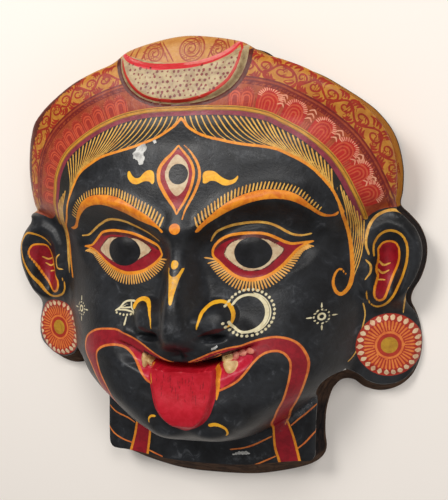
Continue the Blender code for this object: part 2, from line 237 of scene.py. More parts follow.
@dataclass
class NoseForm:
    """Long ridge with round wings and the slots of the nostrils under them."""

    ridge: Table = (
        (-0.093, 0.000, 0.019), (-0.087, 0.007, 0.022), (-0.081, 0.023, 0.024), (-0.074, 0.034, 0.027),
        (-0.065, 0.039, 0.027), (-0.055, 0.040, 0.025), (-0.041, 0.039, 0.022), (-0.025, 0.032, 0.019),
        (-0.007, 0.024, 0.017), (0.010, 0.015, 0.015), (0.024, 0.008, 0.014), (0.038, 0.003, 0.013),
        (0.054, 0.000, 0.012),
    )
    fall: float = 2.5
    waist: float = 0.8
    low_fade: float = 0.004
    top_fade: float = 0.016
    wing: tuple = (0.033, -0.057)
    wing_size: tuple = (0.021, 0.019)
    wing_height: float = 0.017
    slot: tuple = (0.031, -0.075)
    slot_size: tuple = (0.017, 0.005)
    slot_depth: float = 0.007

    def height(self, x: np.ndarray, y: np.ndarray) -> np.ndarray:
        """Ridge height times exp(-(x / waist half width)^fall), plus the wing's bump, minus the slot's.

        Args:
            x: Right of the middle line.
            y: Above the eye line.

        Returns:
            Heights.
        """
        low, top = self.ridge[0][0], self.ridge[-1][0]
        width = through(self.ridge, y, 2)
        inside = ease(low, low + self.low_fade, y) * (1.0 - ease(top - self.top_fade, top, y))
        z = through(self.ridge, y, 1) * np.exp(-((x / (self.waist * width)) ** self.fall)) * inside
        z = z + self.wing_height * swell(x, y, self.wing, self.wing_size, 3.0)
        return z - self.slot_depth * swell(x, y, self.slot, self.slot_size)


@dataclass
class MouthForm:
    """Swollen upper lip, gum groove, open slot, hanging tongue and the two lobes of the chin."""

    line: Table = (
        (0.000, -0.098), (0.017, -0.097), (0.031, -0.093), (0.044, -0.088), (0.057, -0.083), (0.075, -0.078),
    )
    fold: tuple = ((0.010, -0.091), (0.028, -0.083), (0.044, -0.074), (0.056, -0.070))
    fold_width: float = 0.009
    fold_height: float = 0.008
    slot_half: float = 0.034
    slot_drop: float = 0.009
    slot_depth: float = 0.022
    gum_half: float = 0.073
    gum_drop: float = 0.024
    gum_depth: float = 0.010
    tongue: Table = (
        (-0.163, 0.004), (-0.159, 0.013), (-0.154, 0.020), (-0.146, 0.026), (-0.135, 0.030),
        (-0.122, 0.033), (-0.111, 0.035), (-0.102, 0.034),
    )
    tongue_height: float = 0.007
    tongue_round: float = 0.006
    lobe: tuple = (0.024, -0.171)
    lobe_size: tuple = (0.024, 0.014)
    lobe_height: float = 0.006
    gum_step: float = 0.003
    gum_fade: float = 0.020
    slot_step: float = 0.0025
    slot_fade: tuple = (0.005, 0.004)
    tongue_root: tuple = (-0.1045, -0.1015)
    furrow: float = 0.0012
    furrow_half: float = 0.005
    furrow_span: tuple = (-0.160, -0.130)
    tooth_grow: float = 1.15
    tooth_power: float = 4.0
    teeth: Table = (
        (-0.0405, -0.0985, 0.0036, 0.0082, 0.0060), (-0.0350, -0.0990, 0.0030, 0.0066, 0.0045),
        (0.0425, -0.1010, 0.0068, 0.0074, 0.0065), (0.0360, -0.0965, 0.0034, 0.0046, 0.0040),
        (0.0490, -0.0930, 0.0034, 0.0040, 0.0030), (0.0555, -0.0905, 0.0038, 0.0034, 0.0025),
        (0.0625, -0.0880, 0.0048, 0.0030, 0.0020),
    )

    def height(self, x: np.ndarray, y: np.ndarray) -> np.ndarray:
        """Lip fold, stepped grooves below the lip line, a flat-topped tongue with a furrow, and the chin.

        Args:
            x: Right of the middle line.
            y: Above the eye line.

        Returns:
            Heights.
        """
        below = through(self.line, x) - y
        z = self.fold_height * np.exp(-((to_line(x, y, self.fold) / self.fold_width) ** 2))
        gum = ease(0.0, self.gum_step, below) * (1.0 - ease(self.gum_drop * 0.5, self.gum_drop, below))
        gum = gum * (1.0 - ease(self.gum_half - self.gum_fade, self.gum_half, x))
        slot = ease(0.0, self.slot_step, below) * (1.0 - ease(self.slot_drop - self.slot_step,
            self.slot_drop, below))
        inner, outer = self.slot_half - self.slot_fade[0], self.slot_half + self.slot_fade[1]
        z = z - self.slot_depth * slot * (1.0 - ease(inner, outer, x))
        side = ease(0.0, self.tongue_round, through(self.tongue, y) - x)
        low = self.tongue[0][0]
        long = ease(low, low + self.tongue_round, y) * (1.0 - ease(*self.tongue_root, y))
        furrow = self.furrow * np.exp(-((x / self.furrow_half) ** 2)) * ease(*self.furrow_span, y)
        z = z + (self.tongue_height - furrow) * side * long - self.gum_depth * gum * (1.0 - side * long)
        return z + self.lobe_height * swell(x, y, self.lobe, self.lobe_size)

    def bite(self, x: np.ndarray, y: np.ndarray) -> np.ndarray:
        """Round bumps of the teeth on both sides of the tongue, x signed.

        Args:
            x: Right of the middle line.
            y: Above the eye line.

        Returns:
            Heights.
        """
        z = np.zeros(np.shape(x))
        for cx, cy, half_x, half_y, high in self.teeth:
            size = (self.tooth_grow * half_x, self.tooth_grow * half_y)
            z = np.maximum(z, high * swell(x, y, (cx, cy), size, self.tooth_power))
        return z


@dataclass
class EarForm:
    """Ear plates leaning outward, with a hollowed bowl and a raised round disc below it."""

    inner: float = 0.140
    upper: tuple = (0.165, 0.042, 0.14)
    lower: tuple = (0.179, 0.020, 0.36)
    turn: tuple = (-0.070, -0.040)
    bowl: tuple = (0.181, -0.018)
    bowl_size: tuple = (0.019, 0.044)
    bowl_depth: float = 0.008
    disc: tuple = (0.181, -0.097)
    left_disc: tuple = (0.176, -0.088)
    disc_radius: float = 0.029
    disc_height: float = 0.003
    helix: tuple = (
        (0.163, -0.038), (0.160, -0.020), (0.161, 0.004), (0.168, 0.017), (0.181, 0.023),
        (0.195, 0.018), (0.204, 0.005), (0.204, -0.014), (0.197, -0.034), (0.188, -0.050),
    )
    helix_width: float = 0.0065
    helix_height: float = 0.0038
    cup: tuple = (0.181, -0.022)
    cup_size: tuple = (0.014, 0.034)
    cup_depth: float = 0.006
    disc_edge: tuple = (0.85, 1.05)
    inner_fade: float = 0.010
    top_fade: tuple = (0.034, 0.050)
    low_fade: tuple = (-0.165, -0.150)

    def height(self, x: np.ndarray, y: np.ndarray, left: np.ndarray) -> np.ndarray:
        """Plane upper - slope (x - start) eased into the lobe's steeper plane, bowl out, helix and disc on.

        Args:
            x: Right of the middle line.
            y: Above the eye line.
            left: True on the left side.

        Returns:
            Heights.
        """
        disc_x = np.where(left, self.left_disc[0], self.disc[0])
        disc_y = np.where(left, self.left_disc[1], self.disc[1])
        upper = self.upper[1] - self.upper[2] * (x - self.upper[0])
        lower = self.lower[1] - self.lower[2] * (x - self.lower[0])
        z = lower + (upper - lower) * ease(self.turn[0], self.turn[1], y)
        z = z - self.bowl_depth * swell(x, y, self.bowl, self.bowl_size)
        z = z - self.cup_depth * swell(x, y, self.cup, self.cup_size, 3.0)
        z = z + self.helix_height * np.exp(-((to_line(x, y, self.helix) / self.helix_width) ** 2))
        z = z + self.disc_height * (1.0 - ease(*self.disc_edge,
            np.hypot(x - disc_x, y - disc_y) / self.disc_radius))
        reach = ease(self.inner - self.inner_fade, self.inner, x) * (1.0 - ease(*self.top_fade, y))
        return z * (reach * ease(*self.low_fade, y))


@dataclass
class NeckForm:
    """Flat plate under the chin."""

    top: float = -0.120
    fade: float = 0.020
    plate: float = 0.039
    side_fade: tuple = (0.130, 0.150)

    def height(self, x: np.ndarray, y: np.ndarray) -> np.ndarray:
        """Plate height, eased to nothing above its top and beyond its sides."""
        return self.plate * (1.0 - ease(self.top, self.top + self.fade, y)) * (1.0 - ease(*self.side_fade, x))


@dataclass
class CrescentForm:
    """Moon-shaped boss over the forehead."""

    tip: tuple = (0.063, 0.190)
    low: float = 0.139
    belly: float = 2.4
    sag: float = 0.014
    boss: float = 0.006
    edge: float = 0.004

    def depths(self, x: np.ndarray, y: np.ndarray) -> tuple[np.ndarray, np.ndarray]:
        """Depths inside the full low oval, drop (1 - r) with r its norm, and under the arc through its tips.

        Args:
            x: Right of the middle line.
            y: Above the eye line.

        Returns:
            Depth inside the oval and depth under the arc.
        """
        drop = self.tip[1] - self.low
        flat_r = (self.tip[0] ** 2 + self.sag ** 2) / (2 * self.sag)
        oval = (x / self.tip[0]) ** self.belly + (np.maximum(self.tip[1] - y, 0.0) / drop) ** self.belly
        low = drop * (1.0 - oval ** (1.0 / self.belly))
        return low, np.hypot(x, y - (self.tip[1] - self.sag + flat_r)) - flat_r

    def height(self, x: np.ndarray, y: np.ndarray) -> np.ndarray:
        """Boss height eased in over its edge on both arcs."""
        low, high = self.depths(x, y)
        return self.boss * ease(0.0, self.edge, low) * ease(0.0, self.edge, high)


@dataclass
class Rim:
    """Outline of the mask, its leaning wall and its turned edge."""

    half: Table = (
        (0.000, 0.206), (0.029, 0.203), (0.058, 0.196), (0.074, 0.185), (0.094, 0.178),
        (0.117, 0.168), (0.139, 0.154), (0.156, 0.142), (0.169, 0.131), (0.181, 0.116),
        (0.188, 0.102), (0.192, 0.087), (0.194, 0.070), (0.193, 0.052), (0.191, 0.039),
        (0.199, 0.030), (0.209, 0.018), (0.215, 0.002), (0.215, -0.015), (0.210, -0.032),
        (0.202, -0.046), (0.200, -0.056), (0.205, -0.068), (0.209, -0.083), (0.210, -0.099),
        (0.207, -0.116), (0.199, -0.132), (0.186, -0.143), (0.169, -0.148), (0.153, -0.145),
        (0.142, -0.138), (0.131, -0.138), (0.122, -0.146), (0.117, -0.158), (0.115, -0.175),
        (0.115, -0.195), (0.116, -0.210), (0.111, -0.221), (0.098, -0.230), (0.073, -0.238),
        (0.040, -0.2445), (0.000, -0.246),
    )
    lobe_short: float = 0.017
    lobe_span: tuple = (-0.095, -0.135)
    band_in: float = 0.003
    band_span: tuple = (0.032, 0.135)
    band_fade: float = 0.3
    left_of: float = -0.125
    neck_shift: float = -0.003
    neck_span: tuple = (-0.150, -0.190)
    flap_out: float = 0.010
    flap_at: float = 0.041
    flap_half: float = 0.006
    draft: float = 0.08
    under_draft: float = 0.55
    draft_top: float = 0.038
    turn: float = 0.010
    turn_share: float = 0.8
    steps: int = 10
    smoothing: int = 10
    part: int = 20000

    @property
    def middle_y(self) -> float:
        """Middle of the outline's box along y."""
        return (self.half[0][1] + self.half[-1][1]) / 2

    def ring(self) -> tuple[np.ndarray, np.ndarray, np.ndarray]:
        """Outline at the rim's plane.

        Returns:
            Points, outward directions and the wall's lean at each. The left lobe is shorter, the
            left headband further in with a torn flap at its end, and the neck a little to the left.
        """
        half = np.array(self.half)
        other = half[-2:0:-1] * (-1.0, 1.0)
        lobe = ease(self.lobe_span[0], self.lobe_span[1], other[:, 1]) * (other[:, 0] < self.left_of)
        other[:, 1] += self.lobe_short * lobe
        middle = sum(self.band_span) / 2
        reach = self.band_span[1] - middle
        other[:, 0] += self.band_in * (1.0 - ease(self.band_fade, 1.0, np.abs(other[:, 1] - middle) / reach))
        torn = np.exp(-(((other[:, 1] - self.flap_at) / self.flap_half) ** 2)) * (other[:, 0] < self.left_of)
        other[:, 0] -= self.flap_out * torn
        full = np.concatenate([half, other])
        full[:, 0] += self.neck_shift * ease(*self.neck_span, full[:, 1])
        points = rounded(full, self.steps, True)
        along = np.roll(points, -1, axis=0) - np.roll(points, 1, axis=0)
        along = along / np.linalg.norm(along, axis=1, keepdims=True)
        outward = np.stack([-along[:, 1], along[:, 0]], 1)
        lean = self.draft + self.under_draft * np.clip(-outward[:, 1], 0.0, 1.0) ** 2
        for _ in range(self.smoothing * (self.steps // 2) ** 2):
            lean = 0.25 * np.roll(lean, 1) + 0.5 * lean + 0.25 * np.roll(lean, -1)
        return points, outward, lean

    def at(self, inset: float, level: float) -> np.ndarray:
        """Outline moved in by the inset and by the wall's lean up to a height."""
        points, outward, lean = self.ring()
        return points - outward * (inset + lean * min(level, self.draft_top))[:, None]

    def nearest(self, x: np.ndarray, y: np.ndarray) -> tuple[np.ndarray, np.ndarray]:
        """Distance to the outline's points and the index of the nearest, found in slices.

        Args:
            x: Right of the middle line.
            y: Above the eye line.

        Returns:
            Distances and point numbers.
        """
        ring = self.ring()[0]
        flat = np.stack([np.ravel(x), np.ravel(y)], 1)
        best, index = np.empty(len(flat)), np.empty(len(flat), int)
        for start in range(0, len(flat), self.part):
            part = flat[start:start + self.part]
            gap = np.hypot(part[:, :1] - ring[:, 0], part[:, 1:] - ring[:, 1])
            index[start:start + self.part] = gap.argmin(1)
            best[start:start + self.part] = gap.min(1)
        return best.reshape(np.shape(x)), index.reshape(np.shape(x))

    def turned(self, distance: np.ndarray) -> np.ndarray:
        """Drop near the rim: turn (1 - sqrt(1 - t^2)) share, t from 0 inside to 1 at the edge."""
        t = np.clip(1.0 - distance / self.turn, 0.0, 1.0)
        return self.turn * (1.0 - np.sqrt(1.0 - t * t)) * self.turn_share


# Shell

def graded(marks: Table) -> np.ndarray:
    """Grid lines from spans of (start, end, largest step).

    Args:
        marks: Spans in order.

    Returns:
        Grid lines.
    """
    out = [np.array([marks[0][0]])]
    for start, end, step in marks:
        count = max(1, math.ceil((end - start) / step - 1e-9))
        out.append(start + (end - start) * np.arange(1, count + 1) / count)
    return np.concatenate(out)


def mesh_from(name: str, points: np.ndarray, faces: list) -> bpy.types.Object:
    """Mesh object from points and faces, linked to the scene at the origin.

    Args:
        name: Object name.
        points: Points, one row each.
        faces: Vertex numbers of each face.

    Returns:
        The linked object.
    """
    data = bpy.data.meshes.new(name)
    data.from_pydata(points.tolist(), [], faces)
    data.update()
    ob = bpy.data.objects.new(name, data)
    bpy.context.scene.collection.objects.link(ob)
    return ob


def block(name: str, xs: np.ndarray, ys: np.ndarray, z: np.ndarray, floor: float,
    lift: float) -> bpy.types.Object:
    """Closed block under a grid of heights.

    Args:
        name: Object name.
        xs: Grid lines along x.
        ys: Grid lines along y.
        z: Heights, one row for each x.
        floor: Height of the flat underside.
        lift: Added to y.

    Returns:
        The block's object.
    """
    nx, ny = len(xs), len(ys)
    gx, gy = np.meshgrid(xs, ys + lift, indexing="ij")
    top = np.stack([gx.ravel(), gy.ravel(), z.ravel()], 1)
    i, j = np.meshgrid(np.arange(nx - 1), np.arange(ny - 1), indexing="ij")
    a = (i * ny + j).ravel()
    faces = np.stack([a, a + ny, a + ny + 1, a + 1], 1)
    ring = np.concatenate(
        [np.arange(nx) * ny, (nx - 1) * ny + np.arange(1, ny), np.arange(nx - 2, -1, -1) * ny + ny - 1,
         np.arange(ny - 2, 0, -1)]
    )
    low = top[ring].copy()
    low[:, 2] = floor
    under = len(top) + np.arange(len(ring))
    side = np.stack([ring, under, np.roll(under, -1), np.roll(ring, -1)], 1)
    every = faces.tolist() + side.tolist() + [under[::-1].tolist()]
    return mesh_from(name, np.concatenate([top, low]), every)


def prism(name: str, rings: list[np.ndarray], levels: tuple, lift: float) -> bpy.types.Object:
    """Closed prism through rings of outline points at a list of heights.

    Args:
        name: Object name.
        rings: Outline at each height.
        levels: Heights of the rings.
        lift: Added to y.

    Returns:
        The prism's object.
    """
    count = len(rings[0])
    points = [np.column_stack([r[:, 0], r[:, 1] + lift, np.full(count, z)]) for r, z in zip(rings, levels)]
    k = np.arange(count)
    n = (k + 1) % count
    faces = []
    for row in range(len(levels) - 1):
        low, high = row * count, (row + 1) * count
        faces += np.stack([high + k, high + n, low + n, low + k], 1).tolist()
    faces.append(k.tolist())
    faces.append(((len(levels) - 1) * count + k[::-1]).tolist())
    return mesh_from(name, np.concatenate(points), faces)


class Side(Enum):
    """Which face of the paper shell a vertex lies on."""

    FRONT = 0
    WALL = 1
    BACK = 2


@dataclass
class MaskShell:
    """Moulded front cut to the rim's outline and hollowed from behind."""

    wall: float = 0.005
    blend: float = 0.007
    head: HeadForm = field(default_factory=HeadForm)
    eyes: EyeForm = field(default_factory=EyeForm)
    nose: NoseForm = field(default_factory=NoseForm)
    mouth: MouthForm = field(default_factory=MouthForm)
    ears: EarForm = field(default_factory=EarForm)
    neck: NeckForm = field(default_factory=NeckForm)
    crescent: CrescentForm = field(default_factory=CrescentForm)
    rim: Rim = field(default_factory=Rim)
    fine_x: Table = ((0.0, 0.118, 0.00118), (0.118, 0.227, 0.0018))
    fine_y: Table = ((-0.258, -0.170, 0.0019), (-0.170, 0.104, 0.00122), (0.104, 0.218, 0.0017))
    inside_step: float = 0.009
    unevenness: float = 0.00012
    waves: tuple = (0.045, 0.034, 0.026, 0.018, 0.018)
    wave_scale: float = 0.060
    paper_fade: tuple = (0.004, 0.020)
    search_share: float = 0.75
    wall_over: float = 1.15
    floor: float = -0.010
    hollow_floor: float = -0.030
    hollow_start: float = -0.020
    wall_top: float = 0.088
    above: float = 0.200
    sharp: float = 55.0
    on_wall: float = 0.0016
    on_front: float = 0.0009

    def surface(self, x: np.ndarray, y: np.ndarray) -> np.ndarray:
        """Front height: head + eyes + nose + mouth + crescent, filleted into the ears and the neck.

        Args:
            x: Right of the middle line.
            y: Above the eye line.

        Returns:
            Heights.
        """
        left = x < 0.0
        x = np.abs(x)
        bite = self.mouth.bite(np.where(left, -x, x), y)
        moulded = self.head.height(x, y) + self.eyes.height(x, y) + self.nose.height(x, y) + bite
        moulded = moulded + self.mouth.height(x, y) + self.crescent.height(x, y)
        moulded = soft_max(moulded, self.ears.height(x, y, left), self.blend)
        return soft_max(moulded, self.neck.height(x, y), self.blend)

    def paper(self, x: np.ndarray, y: np.ndarray) -> np.ndarray:
        """Hand-laid paper's slow unevenness: a sum of sines of crossed directions, 18 to 45 mm long.

        Args:
            x: Right of the middle line.
            y: Above the eye line.

        Returns:
            Heights.
        """
        rng = np.random.default_rng(7)
        z = np.zeros(np.shape(x))
        for length in self.waves:
            turn, start = rng.uniform(0.0, 2 * math.pi, 2)
            z = z + np.sin((x * math.cos(turn) + y * math.sin(turn)) * 2 * math.pi / length + start) * length
        return self.unevenness * z / self.wave_scale

    def front(self, x: np.ndarray, y: np.ndarray) -> np.ndarray:
        """Front height with the paper's unevenness and the turned edge."""
        distance = self.rim.nearest(x, y)[0]
        flat = ease(*self.paper_fade, distance)
        return self.surface(x, y) + self.paper(x, y) * flat - self.rim.turned(distance)

    def ceiling(self, x: np.ndarray, y: np.ndarray) -> np.ndarray:
        """Height of the hollow: the lowest front within a wall's reach, a wall lower.

        Args:
            x: Right of the middle line.
            y: Above the eye line.

        Returns:
            Heights.
        """
        low, reach = self.surface(x, y), self.inside_step * self.search_share
        for turn in np.arange(12) * math.pi / 6:
            low = np.minimum(low, self.surface(x + reach * math.cos(turn), y + reach * math.sin(turn)))
        return low - self.wall * self.wall_over - self.rim.turned(self.rim.nearest(x, y)[0] - self.wall)

    def build(self) -> bpy.types.Object:
        """Front block cut by the outline's prism, less the hollow.

        Returns:
            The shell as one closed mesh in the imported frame.
        """
        rim, lift = self.rim, -self.rim.middle_y
        xs = graded(self.fine_x)
        xs = np.concatenate([-xs[:0:-1], xs])
        ys = graded(self.fine_y)
        gx, gy = np.meshgrid(xs, ys, indexing="ij")
        shell = block("mask_skin", xs, ys, self.front(gx, gy), self.floor, lift)
        lower, upper = np.linspace(0.0, rim.draft_top, 10), np.linspace(rim.draft_top, self.wall_top, 19)
        levels = (*lower, *upper[1:], self.above)
        cutter = prism("outline", [rim.at(0.0, z) for z in levels], levels, lift)
        coarse_x = np.arange(-26, 27) * self.inside_step
        coarse_y = np.arange(-29, 26) * self.inside_step
        cx, cy = np.meshgrid(coarse_x, coarse_y, indexing="ij")
        hollow = block("hollow", coarse_x, coarse_y, self.ceiling(cx, cy), self.hollow_floor, lift)
        levels = (self.hollow_start, 0.0, rim.draft_top, self.above)
        narrow = prism("hollow_outline", [rim.at(self.wall, max(z, 0.0)) for z in levels], levels, lift)
        for ob, tool, operation in (
            (hollow, narrow, "INTERSECT"), (shell, cutter, "INTERSECT"), (shell, hollow, "DIFFERENCE"),
        ):
            step = ob.modifiers.new(tool.name, "BOOLEAN")
            step.operation, step.solver, step.object = operation, "MANIFOLD", tool
        graph = bpy.context.evaluated_depsgraph_get()
        data = bpy.data.meshes.new_from_object(shell.evaluated_get(graph))
        for ob in (shell, cutter, hollow, narrow):
            bpy.data.objects.remove(ob, do_unlink=True)
        data.name = "mask_skin"
        data.shade_smooth()
        data.set_sharp_from_angle(angle=math.radians(self.sharp))
        out = bpy.data.objects.new("mask_skin", data)
        bpy.context.scene.collection.objects.link(out)
        return out

    def sides(self, points: np.ndarray) -> np.ndarray:
        """Which side of the paper each vertex lies on, from its height and its gap to the wall.

        Args:
            points: Points, one row each.

        Returns:
            A Side value for each vertex.
        """
        x, y, z = points[:, 0], points[:, 1] + self.rim.middle_y, points[:, 2]
        ring, outward, lean = self.rim.ring()
        distance, index = self.rim.nearest(x, y)
        base, out = ring[index], outward[index]
        gap = (x - base[:, 0]) * out[:, 0] + (y - base[:, 1]) * out[:, 1]
        gap = gap + lean[index] * np.minimum(z, self.rim.draft_top)
        side = np.full(len(points), Side.BACK.value)
        side[np.abs(gap) < self.on_wall] = Side.WALL.value
        side[np.abs(z - self.front(x, y)) < self.on_front] = Side.FRONT.value
        return side


# Scene

@dataclass(frozen=True)
class Viewpoint:
    """Camera over the lying mask, to its right and a little towards its crown."""

    azimuth: float = 16.5
    lift: float = 5.0
    roll: float = 1.72
    place: tuple = (0.2483, 0.0885, 0.8101)
    lens: float = 58.14

    def make(self) -> bpy.types.Object:
        """Camera whose right, up and back are the rows of roll times lift times azimuth.

        Returns:
            The camera.
        """
        a, b, g = (math.radians(v) for v in (self.azimuth, -self.lift, self.roll))
        turn = np.array([[math.cos(a), 0, -math.sin(a)], [0, 1, 0], [math.sin(a), 0, math.cos(a)]])
        tip = np.array([[1, 0, 0], [0, math.cos(b), math.sin(b)], [0, -math.sin(b), math.cos(b)]])
        spin = np.array([[math.cos(g), -math.sin(g), 0], [math.sin(g), math.cos(g), 0], [0, 0, 1]])
        rows = spin @ tip @ turn
        data = bpy.data.cameras.new("camera")
        data.lens, data.sensor_width = self.lens, 36.0
        data.clip_start, data.clip_end = 0.05, 20.0
        camera = bpy.data.objects.new("camera", data)
        bpy.context.scene.collection.objects.link(camera)
        world = Matrix(rows.T.tolist()).to_4x4()
        world.translation = self.place
        camera.matrix_world = world
        bpy.context.scene.camera = camera
        return camera


# Painting

def mirrored(points: Points) -> Points:
    """The same points on the other side of the face."""
    return [(-p[0], *p[1:]) for p in points]


@dataclass
class Canvas:
    """Every vertex in millimetres, and the painted depth of each layer there.

    A filled layer keeps one number, how far a vertex lies inside its shapes. A line layer keeps pairs,
    the signed gap to the nearest line and that line's half width there, and neighbouring lines are dealt
    to different pairs, so that a line thinner than the mesh stays whole between its vertices.
    """

    x: np.ndarray
    y: np.ndarray
    fills: dict[str, np.ndarray] = field(default_factory=dict)
    pairs: dict[str, list[np.ndarray]] = field(default_factory=dict)
    far: float = 6.0
    reach: float = 4.0
    held_to: float = 2.4
    fade: float = 4.0
    empty: float = 9.0

    def near(self, points: np.ndarray, margin: float) -> np.ndarray:
        """Vertices inside the points' box grown by a margin."""
        low, high = points[:, :2].min(0) - margin, points[:, :2].max(0) + margin
        return np.flatnonzero((self.x > low[0]) & (self.x < high[0]) & (self.y > low[1]) & (self.y < high[1]))

    def add(self, layer: str, index: np.ndarray, depth: np.ndarray) -> None:
        """Joins a depth to a filled layer: the larger of the two."""
        if layer not in self.fills:
            self.fills[layer] = np.full(len(self.x), -self.far)
        self.fills[layer][index] = np.maximum(self.fills[layer][index], np.clip(depth, -self.far, self.far))

    def fill(self, layer: str, corners: Points, steps: int = 4) -> None:
        """Closed rounded shape: its depth is the distance to its edge, negative outside by even-odd crossing.

        Args:
            layer: Layer to paint on.
            corners: Corners in order.
            steps: Curve points for each span.
        """
        ring = rounded(corners, steps, True)
        index = self.near(ring, self.far)
        px, py = self.x[index][:, None], self.y[index][:, None]
        a, b = ring, np.roll(ring, -1, axis=0)
        d = b - a
        t = np.clip(((px - a[:, 0]) * d[:, 0] + (py - a[:, 1]) * d[:, 1]) / (d ** 2).sum(1), 0.0, 1.0)
        gap = np.hypot(px - a[:, 0] - t * d[:, 0], py - a[:, 1] - t * d[:, 1]).min(1)
        rise = np.where(np.abs(d[:, 1]) < 1e-9, 1e-9, d[:, 1])
        crossing = ((a[:, 1] > py) != (b[:, 1] > py)) & (px < a[:, 0] + (py - a[:, 1]) * d[:, 0] / rise)
        self.add(layer, index, np.where(crossing.sum(1) % 2 == 1, gap, -gap))

    def oval(self, layer: str, centre: tuple, size: tuple) -> None:
        """Oval: (1 - r) times its smaller radius, r the elliptical distance.

        Args:
            layer: Layer to paint on.
            centre: Middle of the shape.
            size: Half sizes.
        """
        box = np.array([(centre[0] - size[0], centre[1] - size[1]),
            (centre[0] + size[0], centre[1] + size[1])])
        index = self.near(box, self.far)
        r = np.hypot((self.x[index] - centre[0]) / size[0], (self.y[index] - centre[1]) / size[1])
        self.add(layer, index, (1.0 - r) * min(size))

    def gaps(self, stroke: Points, steps: int) -> tuple[np.ndarray, np.ndarray, np.ndarray]:
        """Signed gap and half width of one brush stroke of (x, y, width) points at the vertices near it.

        Args:
            stroke: (x, y, width) points.
            steps: Curve points for each span.

        Returns:
            Vertex numbers, signed gaps and half widths.
        """
        line = rounded(stroke, steps, False)
        index = self.near(line, self.reach)
        px, py = self.x[index][:, None], self.y[index][:, None]
        a, d = line[:-1], np.diff(line, axis=0)
        size = np.hypot(d[:, 0], d[:, 1])
        t = ((px - a[:, 0]) * d[:, 0] + (py - a[:, 1]) * d[:, 1]) / size ** 2
        held = np.clip(t, 0.0, 1.0)
        gap = np.hypot(px - a[:, 0] - held * d[:, 0], py - a[:, 1] - held * d[:, 1])
        k = gap.argmin(1)
        row = np.arange(len(index))
        across = ((px - a[:, 0]) * d[:, 1] - (py - a[:, 1]) * d[:, 0])[row, k] / size[k]
        over = np.where(k == 0, np.maximum(-t[:, 0], 0) * size[0], 0.0)
        over = over + np.where(k == len(size) - 1, np.maximum(t[:, -1] - 1, 0) * size[-1], 0.0)
        side = np.where(over > 0, across, np.sign(across) * gap[row, k])
        width = line[k, 2] + held[row, k] * (line[k + 1, 2] - line[k, 2])
        return index, side, width / 2 - over

    def brush(self, layer: str, stroke: Points, steps: int = 4) -> None:
        """Broad stroke joined to a filled layer."""
        index, side, half = self.gaps(stroke, steps)
        self.add(layer, index, half - np.abs(side))

    def haze(self, layer: str, centre: tuple, size: tuple, turn: float, most: float) -> None:
        """Soft patch from its most in the middle to nothing at the rim of a turned oval.

        Args:
            layer: Layer to paint on.
            centre: Middle of the shape.
            size: Half sizes.
            turn: Turn in degrees.
            most: Value in the middle.
        """
        if layer not in self.fills:
            self.fills[layer] = np.zeros(len(self.x))
        c, s = math.cos(math.radians(turn)), math.sin(math.radians(turn))
        dx, dy = self.x - centre[0], self.y - centre[1]
        patch = most * swell(dx * c + dy * s, dy * c - dx * s, (0.0, 0.0), size)
        self.fills[layer] = np.maximum(self.fills[layer], patch)

    def lines(self, layer: str, strokes: list[Points], ways: int = 3, steps: int = 3) -> None:
        """Thin strokes dealt in turn to a number of pairs, the nearer stroke kept at each vertex.

        Args:
            layer: Layer to paint on.
            strokes: Strokes of (x, y, width) points.
            ways: Number of pairs.
            steps: Curve points for each span.
        """
        sets = self.pairs.setdefault(layer, [])
        while len(sets) < ways:
            sets.append(np.full((len(self.x), 2), (self.empty, -self.empty)))
        for number, stroke in enumerate(strokes):
            pair = sets[number % ways]
            index, side, half = self.gaps(stroke, steps)
            half = half - self.fade * np.maximum(np.abs(side) - self.held_to, 0.0)
            better = half - np.abs(side) > pair[index, 1] - np.abs(pair[index, 0])
            pair[index[better]] = np.column_stack([side, half])[better]

    def store(self, data: bpy.types.Mesh) -> None:
        """Writes every layer into the mesh as point attributes.

        Args:
            data: Mesh to write to.
        """
        for name, depth in self.fills.items():
            data.attributes.new(name, "FLOAT", "POINT").data.foreach_set("value", depth.astype(np.float32))
        for name, sets in self.pairs.items():
            for number, pair in enumerate(sets):
                for part, value in (("gap", pair[:, 0]), ("half", pair[:, 1])):
                    made = data.attributes.new(f"{name}_{part}{number}", "FLOAT", "POINT")
                    made.data.foreach_set("value", value.astype(np.float32))


def tapered(points: Points, widths: tuple) -> Points:
    """Brush stroke through the points, its widths spread evenly along them."""
    at = np.linspace(0, len(widths) - 1, len(points))
    return [(p[0], p[1], float(w)) for p, w in zip(points, np.interp(at, np.arange(len(widths)), widths))]


@dataclass
class Course:
    """Line with its own coordinates: u along it and v to its left, in millimetres."""

    points: Points

    def __post_init__(self) -> None:
        """Rounds the line and measures it."""
        self.line = rounded(self.points, 8, False)
        self.run = np.concatenate([[0.0], np.cumsum(np.hypot(*np.diff(self.line, axis=0).T))])
        along = np.gradient(self.line, axis=0)
        along /= np.linalg.norm(along, axis=1, keepdims=True)
        self.left = np.stack([-along[:, 1], along[:, 0]], 1)

    @property
    def length(self) -> float:
        """Length along the line."""
        return float(self.run[-1])

    def at(self, u: float, v: float = 0.0) -> tuple[float, float]:
        """Point u along the line and v to its left: P(u) + v n(u)."""
        p = [np.interp(u, self.run, self.line[:, k]) + v * np.interp(u, self.run, self.left[:, k])
            for k in (0, 1)]
        return float(p[0]), float(p[1])

    def put(self, points: Points) -> Points:
        """Stroke points (u, v, width) placed on the face."""
        return [(*self.at(p[0], p[1]), *p[2:]) for p in points]


